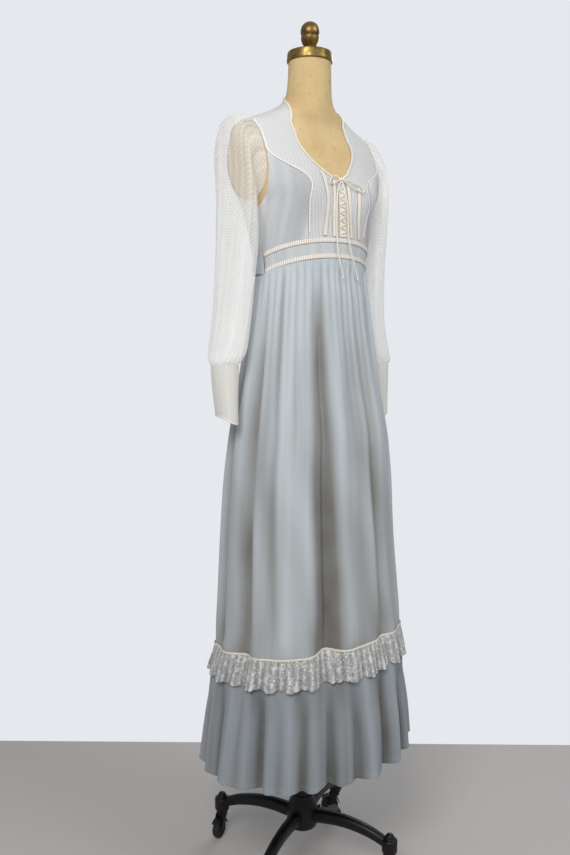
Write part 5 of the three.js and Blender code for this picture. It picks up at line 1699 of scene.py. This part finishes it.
@dataclass
class Sleeve:
    """Sheer full sleeve gathered into its armhole and into a deep cuff with a satin edge."""

    side: Side
    rows: int = 130
    cols: int = 150
    start: float = ARMHOLE + OUTER_LIFT + 0.6
    point: float = 17
    point_angle: float = 25

    def sleeve(self) -> Piece:
        """The sleeve from the armhole to the cuff."""
        t = (np.arange(self.cols) / self.cols * 2 * np.pi)[None, :]
        r = np.linspace(0, 11, self.rows)[:, None]
        edge = armhole_point(t, self.start)
        at = np.maximum(r, 1)
        top, low = SLEEVE.at("top_out", at), SLEEVE.at("low_out", at)
        high, under = SLEEVE.at("top_z", at), SLEEVE.at("low_z", at)
        settle_in = np.minimum(r / 5, 1)
        fold = 3 * settle_in * np.cos(5 * t + r * 0.25) * np.interp(r, [0, 9, 10, 11], [1, 1, 0.3, 0.3])
        head = np.exp(-(((r - 1.1) / 1.1) ** 2)) * np.clip(np.cos(t) + 0.6, 0, 1) * np.minimum(r / 0.5, 1)
        gathers = 1.3 * head * np.cos(27 * t + 1.2 * np.sin(3 * t))
        cuff_end = np.exp(-(((r - 10.4) / 0.9) ** 2)) * np.clip((11 - r) / 0.3, 0, 1)
        gathers = gathers + 1.4 * cuff_end * np.cos(22 * t + np.sin(2 * t))
        ridges = np.sin(11 * t + 0.5 * r + 1.4 * np.sin(2 * t))
        extra = gathers + 0.9 * settle_in * ridges * np.clip((10.6 - r) / 1.5, 0, 1)
        reach = (top - low) / 2 - np.abs(fold) / 2 + extra * 0.7
        x = (top + low) / 2 + reach * np.cos(t)
        z = (high + under) / 2 + (high - under) / 2 * np.cos(t)
        y = SLEEVE.at("mid", at) - (SLEEVE.at("across", at) + fold + extra) * np.sin(t)
        first = np.minimum(r, 1)
        x = mix(edge[..., 0], x, first)
        z = mix(edge[..., 2], z, first)
        y = mix(edge[..., 1], y, np.minimum(r / 3, 1))
        shade = np.clip(0.35 - fold / 9 - extra / 4, 0, 1)
        points = np.stack([self.side.value * x, y, z], -1)
        return cloth_grid(f"sheer_sleeve_{self.side.word}", points, True, 0.8, shade)

    def ring(self, rows: Array, drop: Array, grow: float = 0.0) -> Array:
        """Rings of the cuff at shares of its length, lowered by a drop."""
        t = (np.arange(96) / 96 * 2 * np.pi)[None, :]
        z = mix(CUFF.key[-1], CUFF.key[0], rows)
        dip = self.point * (0.5 + 0.5 * np.cos(t - np.radians(self.point_angle))) ** 2
        x = CUFF.at("out", z) - (CUFF.at("half", z) + grow) * np.sin(t)
        y = CUFF.at("mid", z) - (CUFF.at("across", z) + grow) * np.cos(t)
        return np.stack([self.side.value * x, y, z - dip * rows ** 2 - drop + 0 * t], -1)

    def build(self, wardrobe: Wardrobe) -> None:
        """Builds and dresses the sleeve, its cuff and the cuff's edge."""
        word = self.side.word
        sleeve = self.sleeve()
        wardrobe.cloth(sleeve, "net", "net", [f"sleeve_{word}"])
        share = np.linspace(0, 1, 40)[:, None]
        drop = np.linspace(SEAM, 5, 6)[:, None]
        bulge = 0.35 * np.sin(np.pi * np.linspace(0, 1, 6))[:, None]
        edge = cloth_grid(f"cuff_binding_{word}", self.ring(np.ones_like(drop), drop, bulge), True, 1.0)
        wardrobe.dress(edge, "satin", "satin", [f"cuff_edge_{word}"])
        rings = self.ring(share, 0 * share)
        cuff = cloth_grid(f"deep_cuff_{word}", rings, True, 0.9, np.full(rings.shape[:2], 0.2))
        wardrobe.cloth(cuff, "cuff", "net", [f"cuff_{word}"])


@dataclass
class Zip:
    """Zip tape down the centre back, with its coil."""

    half: float = 7
    low: float = 1217
    high: float = 1668
    pitch: float = 2.4
    coil_top: float = 1652

    def tape(self) -> Piece:
        """The tape, over the back's seam."""
        z = np.linspace(self.low, self.high, 200)[:, None]
        x = np.linspace(-self.half, self.half, 9)[None, :]
        points = np.stack([x + 0 * z, back_out(x, z) + 2.0, z + 0 * x], -1)
        return cloth_grid("back_zip_tape", points, False, 1.0)

    def coil(self) -> Piece:
        """The coil's small turns, to both sides of the middle."""
        z = np.arange(self.low + 4, self.coil_top, self.pitch)
        places = back_out(0 * z, z) + 2.05
        corners, faces = [], []
        for side in (-1, 1):
            for i, (height, out) in enumerate(zip(z + side * self.pitch / 4, places)):
                first = 6 * len(corners)
                x = side * 0.9
                corners.append([
                    (x + 1.3, out, height), (x, out, height + 0.7), (x - 1.3, out, height),
                    (x, out, height - 0.7), (x, out + 0.7, height), (x, out - 0.4, height)])
                faces.append(BEAD_FACES + first)
        mesh = bpy.data.meshes.new("zip_coil")
        mesh.from_pydata((np.array(corners).reshape(-1, 3) * MM).tolist(), [], np.vstack(faces).tolist())
        obj = add_object("zip_coil", mesh)
        bpy.ops.object.mode_set(mode="EDIT")
        face_outwards()
        return obj

    def build(self, wardrobe: Wardrobe) -> None:
        """Builds the zip and dresses its slider and pull."""
        coil = wardrobe.dress(self.coil(), "zip", "zip")
        wardrobe.cloth(self.tape(), "zip", "zip", ["zip_tape"])
        for name in ("zip_slider", "zip_pull"):
            wardrobe.node(name, "steel")


@dataclass
class Stand:
    """Cast iron base on casters, its column, the form's rod and the pedal."""

    wheel_radius: float = 20.6
    axle_height: float = 20.6
    wheel_half: float = 7.5
    trail: float = 14
    turns: tuple[float, ...] = (150, 205, 260, 185)
    leg_radius: float = 206
    leg_turn: float = 26.8
    leg_wide: tuple[float, float] = (13.6, 10.6)
    leg_high: tuple[float, float] = (15.6, 11.4)
    pedal_turn: float = -18
    axle: float = 3
    cheek: float = 3
    near: float = 7.9
    hood: tuple[float, float] = (23.2, 25.2)
    hood_start: float = 40
    hood_sweep: float = 125
    disc: tuple = (
        (2, 53.6), (11, 53.6), (12.6, 54.4), (13, 55.6), (13, 58), (12.2, 59.3), (5, 59.6), (5, 82), (1, 82),
    )
    pipe: tuple = (
        (8, 150.4), (22, 150.4), (23, 151.4), (23, 600), (23.6, 604), (25.4, 606), (25.4, 634), (24.6, 638),
        (23, 640), (14.6, 640), (14.6, 160),
    )
    rod: tuple = ((6, 430), (13, 430), (13.8, 431), (13.8, 903.8), (13.2, 904.7), (6, 904.7))
    hub: tuple = (
        (20, 74), (28, 74), (31, 75), (33.5, 79), (35, 84), (35, 112), (34, 118), (31, 127), (28, 136),
        (25.6, 141), (24.5, 145), (24.5, 149), (23.6, 150.2), (10, 150.2),
    )
    rise: tuple = (
        (18, 99.5), (40, 103.5), (62, 106), (85, 107), (108, 106), (135, 102), (160, 96), (184, 87),
        (206, 76.5),
    )
    boss: tuple = (
        (10, 60), (14, 60), (15.4, 61), (16.6, 63.5), (17, 66), (17, 88), (16.2, 90), (14.4, 91.4),
        (11.4, 92.4), (10.4, 93.4), (9.8, 96), (8.8, 99), (7, 101.6), (4.4, 103), (1, 103.5),
    )
    cheek_line: tuple = (
        (-9, 54.5), (10, 54.5), (13.5, 46), (17, 35), (20, 24), (20.4, 20), (18.8, 16.4), (16, 14.6),
        (12.4, 14.6), (9.6, 16.4), (8, 20), (6, 30), (-1, 42),
    )

    def place(self, index: int) -> Matrix:
        """Where one caster turns, with X along its trail."""
        turn = math.radians(self.leg_turn + 90 * index)
        at = (self.leg_radius * MM * math.cos(turn), self.leg_radius * MM * math.sin(turn), 0)
        return Matrix.Translation(at) @ Matrix.Rotation(math.radians(self.turns[index]), 4, "Z")

    def leg(self, index: int) -> Piece:
        """One arched leg, drawn out section by section from the hub."""
        path = smooth_route(self.rise, 33)
        deselect()
        x, z = path[0] * MM
        bpy.ops.mesh.primitive_circle_add(vertices=28, radius=MM, fill_type="NGON", location=(0, 0, 0))
        obj = bpy.context.object
        for vertex in obj.data.vertices:
            a, b = vertex.co.x / MM, vertex.co.y / MM
            a, b = math.copysign(abs(a) ** 0.8, a), math.copysign(abs(b) ** 0.8, b)
            vertex.co = Vector((x, self.leg_wide[0] * MM * a, z + self.leg_high[0] * MM * b))
        edit_all()
        for (ra, za), (rb, zb) in zip(path, path[1:]):
            share = (rb - path[0][0]) / (path[-1][0] - path[0][0])
            before = (ra - path[0][0]) / (path[-1][0] - path[0][0])
            wide = mix(*self.leg_wide, share) / mix(*self.leg_wide, before)
            high = mix(*self.leg_high, share) / mix(*self.leg_high, before)
            ahead = ((rb - ra) * MM, 0, (zb - za) * MM)
            bpy.ops.mesh.extrude_region_move(TRANSFORM_OT_translate={"value": ahead})
            bpy.ops.transform.resize(value=(1, wide, high), center_override=(rb * MM, 0, zb * MM))
        face_outwards()
        settle(obj, f"leg_{index + 1}")
        obj.data.transform(Matrix.Rotation(math.radians(self.leg_turn + 90 * index), 4, "Z"))
        return obj

    def casting(self) -> Piece:
        """The base: hub, legs and bosses as one casting, with the ears and pin of the pedal."""
        body = turned("base_casting", self.hub, 64)
        parts = [self.leg(i) for i in range(4)]
        for i in range(4):
            boss = turned(f"boss_{i + 1}", self.boss, 40)
            boss.data.transform(self.place(i))
            parts.append(boss)
        turn = Matrix.Rotation(math.radians(self.pedal_turn), 4, "Z")
        for side in (-1, 1):
            deselect()
            bpy.ops.mesh.primitive_cube_add(size=MM, location=(0, 0, 0))
            ear = bpy.context.object
            ear.scale = (16, 3, 16)
            bpy.ops.object.transform_apply(scale=True)
            edge = ear.modifiers.new("edge", "BEVEL")
            edge.width, edge.segments = 1.2 * MM, 3
            apply_modifiers(ear)
            ear.data.transform(turn @ Matrix.Translation((40 * MM, side * self.near * MM, 100 * MM)))
            parts.append(ear)
        for part in parts:
            union = body.modifiers.new("union", "BOOLEAN")
            union.operation, union.solver, union.object = "UNION", "EXACT", part
            apply_modifiers(body)
            bpy.data.objects.remove(part)
        deselect()
        bpy.ops.mesh.primitive_cylinder_add(
            vertices=24, radius=3 * MM, depth=19 * MM, location=(0, 0, 0), rotation=(math.pi / 2, 0, 0))
        pin = settle(bpy.context.object, "pedal_pin")
        pin.data.transform(turn @ Matrix.Translation((42 * MM, 0, 100 * MM)))
        return join("base_casting", [body, pin], 35)

    def fork(self, index: int) -> Piece:
        """One caster fork: swivel disc and stem, two cheeks, a hood over the wheel, and the axle."""
        parts = [turned("disc", self.disc, 36)]
        for start in (-self.near - self.cheek, self.near):
            deselect()
            bpy.ops.mesh.primitive_circle_add(
                vertices=len(self.cheek_line), radius=MM, fill_type="NGON", location=(0, 0, 0))
            cheek = bpy.context.object
            for vertex, (x, z) in zip(cheek.data.vertices, self.cheek_line):
                vertex.co = Vector((x, start, z)) * MM
            edit_all()
            bpy.ops.mesh.extrude_region_move(TRANSFORM_OT_translate={"value": (0, self.cheek * MM, 0)})
            face_outwards()
            edge = cheek.modifiers.new("edge", "BEVEL")
            edge.width, edge.segments, edge.limit_method = 0.8 * MM, 3, "ANGLE"
            parts.append(apply_modifiers(cheek))
        deselect()
        height = self.axle_height
        bpy.ops.mesh.primitive_cylinder_add(
            vertices=24, radius=self.axle * MM, depth=2 * (self.near + self.cheek + 0.6) * MM,
            location=(self.trail * MM, 0, height * MM), rotation=(math.pi / 2, 0, 0))
        parts.append(settle(bpy.context.object, "axle"))
        deselect()
        bpy.ops.mesh.primitive_cube_add(size=MM, location=(0, 0, 0))
        crown = bpy.context.object
        crown.scale = (17, 2 * self.near + 1, 9)
        bpy.ops.object.transform_apply(scale=True)
        crown.data.transform(Matrix.Translation((0.5 * MM, 0, 50 * MM)))
        parts.append(crown)
        deselect()
        bpy.ops.mesh.primitive_plane_add(size=MM, location=(0, 0, 0))
        hood = bpy.context.object
        turn = math.radians(self.hood_start)
        spots = [(radius, y) for y in (-self.near - 1, self.near + 1) for radius in self.hood]
        for vertex, (radius, y) in zip(hood.data.vertices, spots):
            x, z = self.trail + radius * math.cos(turn), height + radius * math.sin(turn)
            vertex.co = Vector((x, y, z)) * MM
        edit_all()
        bpy.ops.mesh.spin(
            steps=24, angle=math.radians(self.hood_sweep), center=(self.trail * MM, 0, height * MM),
            axis=(0, 1, 0))
        face_outwards()
        parts.append(hood)
        obj = join(f"fork_{index + 1}_iron", parts, 35)
        obj.data.transform(self.place(index))
        return obj

    def wheel(self, index: int) -> Piece:
        """One caster wheel: rounded tread, dished sides and a hub."""
        half, radius = self.wheel_half, self.wheel_radius
        near = [
            (3.4, -half), (7.5, -half), (8.2, -half + 0.8), (9, -half + 1.6), (15, -half + 1.6),
            (16, -half + 0.5), (18, -half), (19.8, -half + 1), (radius - 0.2, -half + 3), (radius, -2),
        ]
        profile = near + [(out, -height) for out, height in reversed(near)]
        obj = turned(f"wheel_{index + 1}_rubber", profile, 48)
        height = self.axle_height
        axle = Matrix.Translation((self.trail * MM, 0, height * MM)) @ Matrix.Rotation(math.pi / 2, 4, "X")
        obj.data.transform(self.place(index) @ axle)
        return obj

    def build(self, wardrobe: Wardrobe) -> None:
        """Builds the wheels and dresses the cast pieces."""
        wardrobe.dress(self.casting(), "iron", "iron", ["base"], "stand")
        wardrobe.dress(turned("stand_column", self.pipe, 64), "iron", "iron", ["column"], "stand")
        wardrobe.dress(turned("form_rod", self.rod, 48), "iron", "iron", ["stem_rod"])
        wardrobe.node("pedal", "iron")
        for index in range(4):
            fork = self.fork(index)
            wardrobe.dress(fork, "iron", "iron", [f"caster_fork_{index + 1}"], f"fork_{index + 1}")
            wheel = self.wheel(index)
            wardrobe.dress(wheel, "tyre", "tyre", [f"caster_wheel_{index + 1}"], f"wheel_{index + 1}")


@dataclass
class Studio:
    """Pale floor, soft light and the camera at the photograph's view."""

    eye: tuple[float, float, float] = (-1.20510, -1.43618, 1.1501)
    ahead: tuple[float, float, float] = (0.62116, 0.77812, -0.09324)
    up: tuple[float, float, float] = (0.05217, 0.07766, 0.99561)
    lens: float = 36.6
    room_light: float = 0.35
    room_seen: float = 0.94

    def camera(self) -> None:
        """Sets the camera."""
        data = bpy.data.cameras.new("view")
        data.lens, data.sensor_width = self.lens, 36
        obj = bpy.data.objects.new("view", data)
        bpy.context.scene.collection.objects.link(obj)
        back = -Vector(self.ahead).normalized()
        right = Vector(self.up).cross(back).normalized()
        up = back.cross(right)
        axes = Matrix((right, up, back)).transposed().to_4x4()
        obj.matrix_world = Matrix.Translation(self.eye) @ axes
        bpy.context.scene.camera = obj

    def lights(self) -> None:
        """A large soft key, a fill, and a pale room."""
        for name, place, energy, size, colour in (
            ("key", (-2.0, -1.5, 2.7), 52, 1.2, (1.0, 0.985, 0.955)),
            ("fill", (0.9, -2.4, 2.8), 26, 1.6, (0.98, 0.985, 1.0)),
            ("rim", (2.4, 1.4, 2.5), 24, 1.4, (0.93, 0.96, 1.0)),
        ):
            data = bpy.data.lights.new(name, "AREA")
            data.energy, data.size, data.color = energy, size, colour
            obj = bpy.data.objects.new(name, data)
            bpy.context.scene.collection.objects.link(obj)
            obj.location = place
            obj.rotation_euler = (Vector((0, 0, 1.65)) - Vector(place)).to_track_quat("-Z", "Y").to_euler()
        world = bpy.data.worlds.new("room")
        bpy.context.scene.world = world
        world.use_nodes = True
        tree = world.node_tree
        tree.nodes["Background"].inputs["Color"].default_value = (0.84, 0.86, 0.90, 1.0)
        seen = tree.nodes.new("ShaderNodeLightPath").outputs["Is Camera Ray"]
        level = tree.nodes.new("ShaderNodeMapRange")
        level.inputs["To Min"].default_value = self.room_light
        level.inputs["To Max"].default_value = self.room_seen
        tree.links.new(seen, level.inputs["Value"])
        tree.links.new(level.outputs["Result"], tree.nodes["Background"].inputs["Strength"])
        bpy.context.scene.view_settings.view_transform = "Standard"

    def floor(self) -> None:
        """A plain pale floor."""
        deselect()
        ahead = Vector((self.ahead[0], self.ahead[1], 0)).normalized()
        wide, long, behind = 7.0, 6.0, 0.56
        middle = ahead * (behind - long / 2)
        turn = math.atan2(ahead.y, ahead.x)
        bpy.ops.mesh.primitive_plane_add(size=1.0, location=middle, rotation=(0, 0, turn))
        obj = bpy.context.object
        obj.scale = (long, wide, 1.0)
        obj.name = "pale_floor"
        material = bpy.data.materials.new("pale_floor")
        material.use_nodes = True
        shader = material.node_tree.nodes["Principled BSDF"]
        shader.inputs["Base Color"].default_value = tint(196, 192, 188)
        shader.inputs["Roughness"].default_value = 0.75
        obj.data.materials.append(material)


def main() -> None:
    """Builds every sub-assembly in order."""
    logging.basicConfig(level=logging.INFO, format="%(message)s")
    studio = Studio()
    studio.camera()
    wardrobe = Wardrobe()
    front = Front()
    front.bow(wardrobe)
    DressForm().build(wardrobe)
    Bodice().build(wardrobe)
    front.build(wardrobe)
    Waist().build(wardrobe)
    Skirt().build(wardrobe)
    for side in Side:
        Sleeve(side).build(wardrobe)
    Zip().build(wardrobe)
    Stand().build(wardrobe)
    studio.floor()
    studio.lights()
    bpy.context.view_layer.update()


if __name__ == "__main__":
    main()
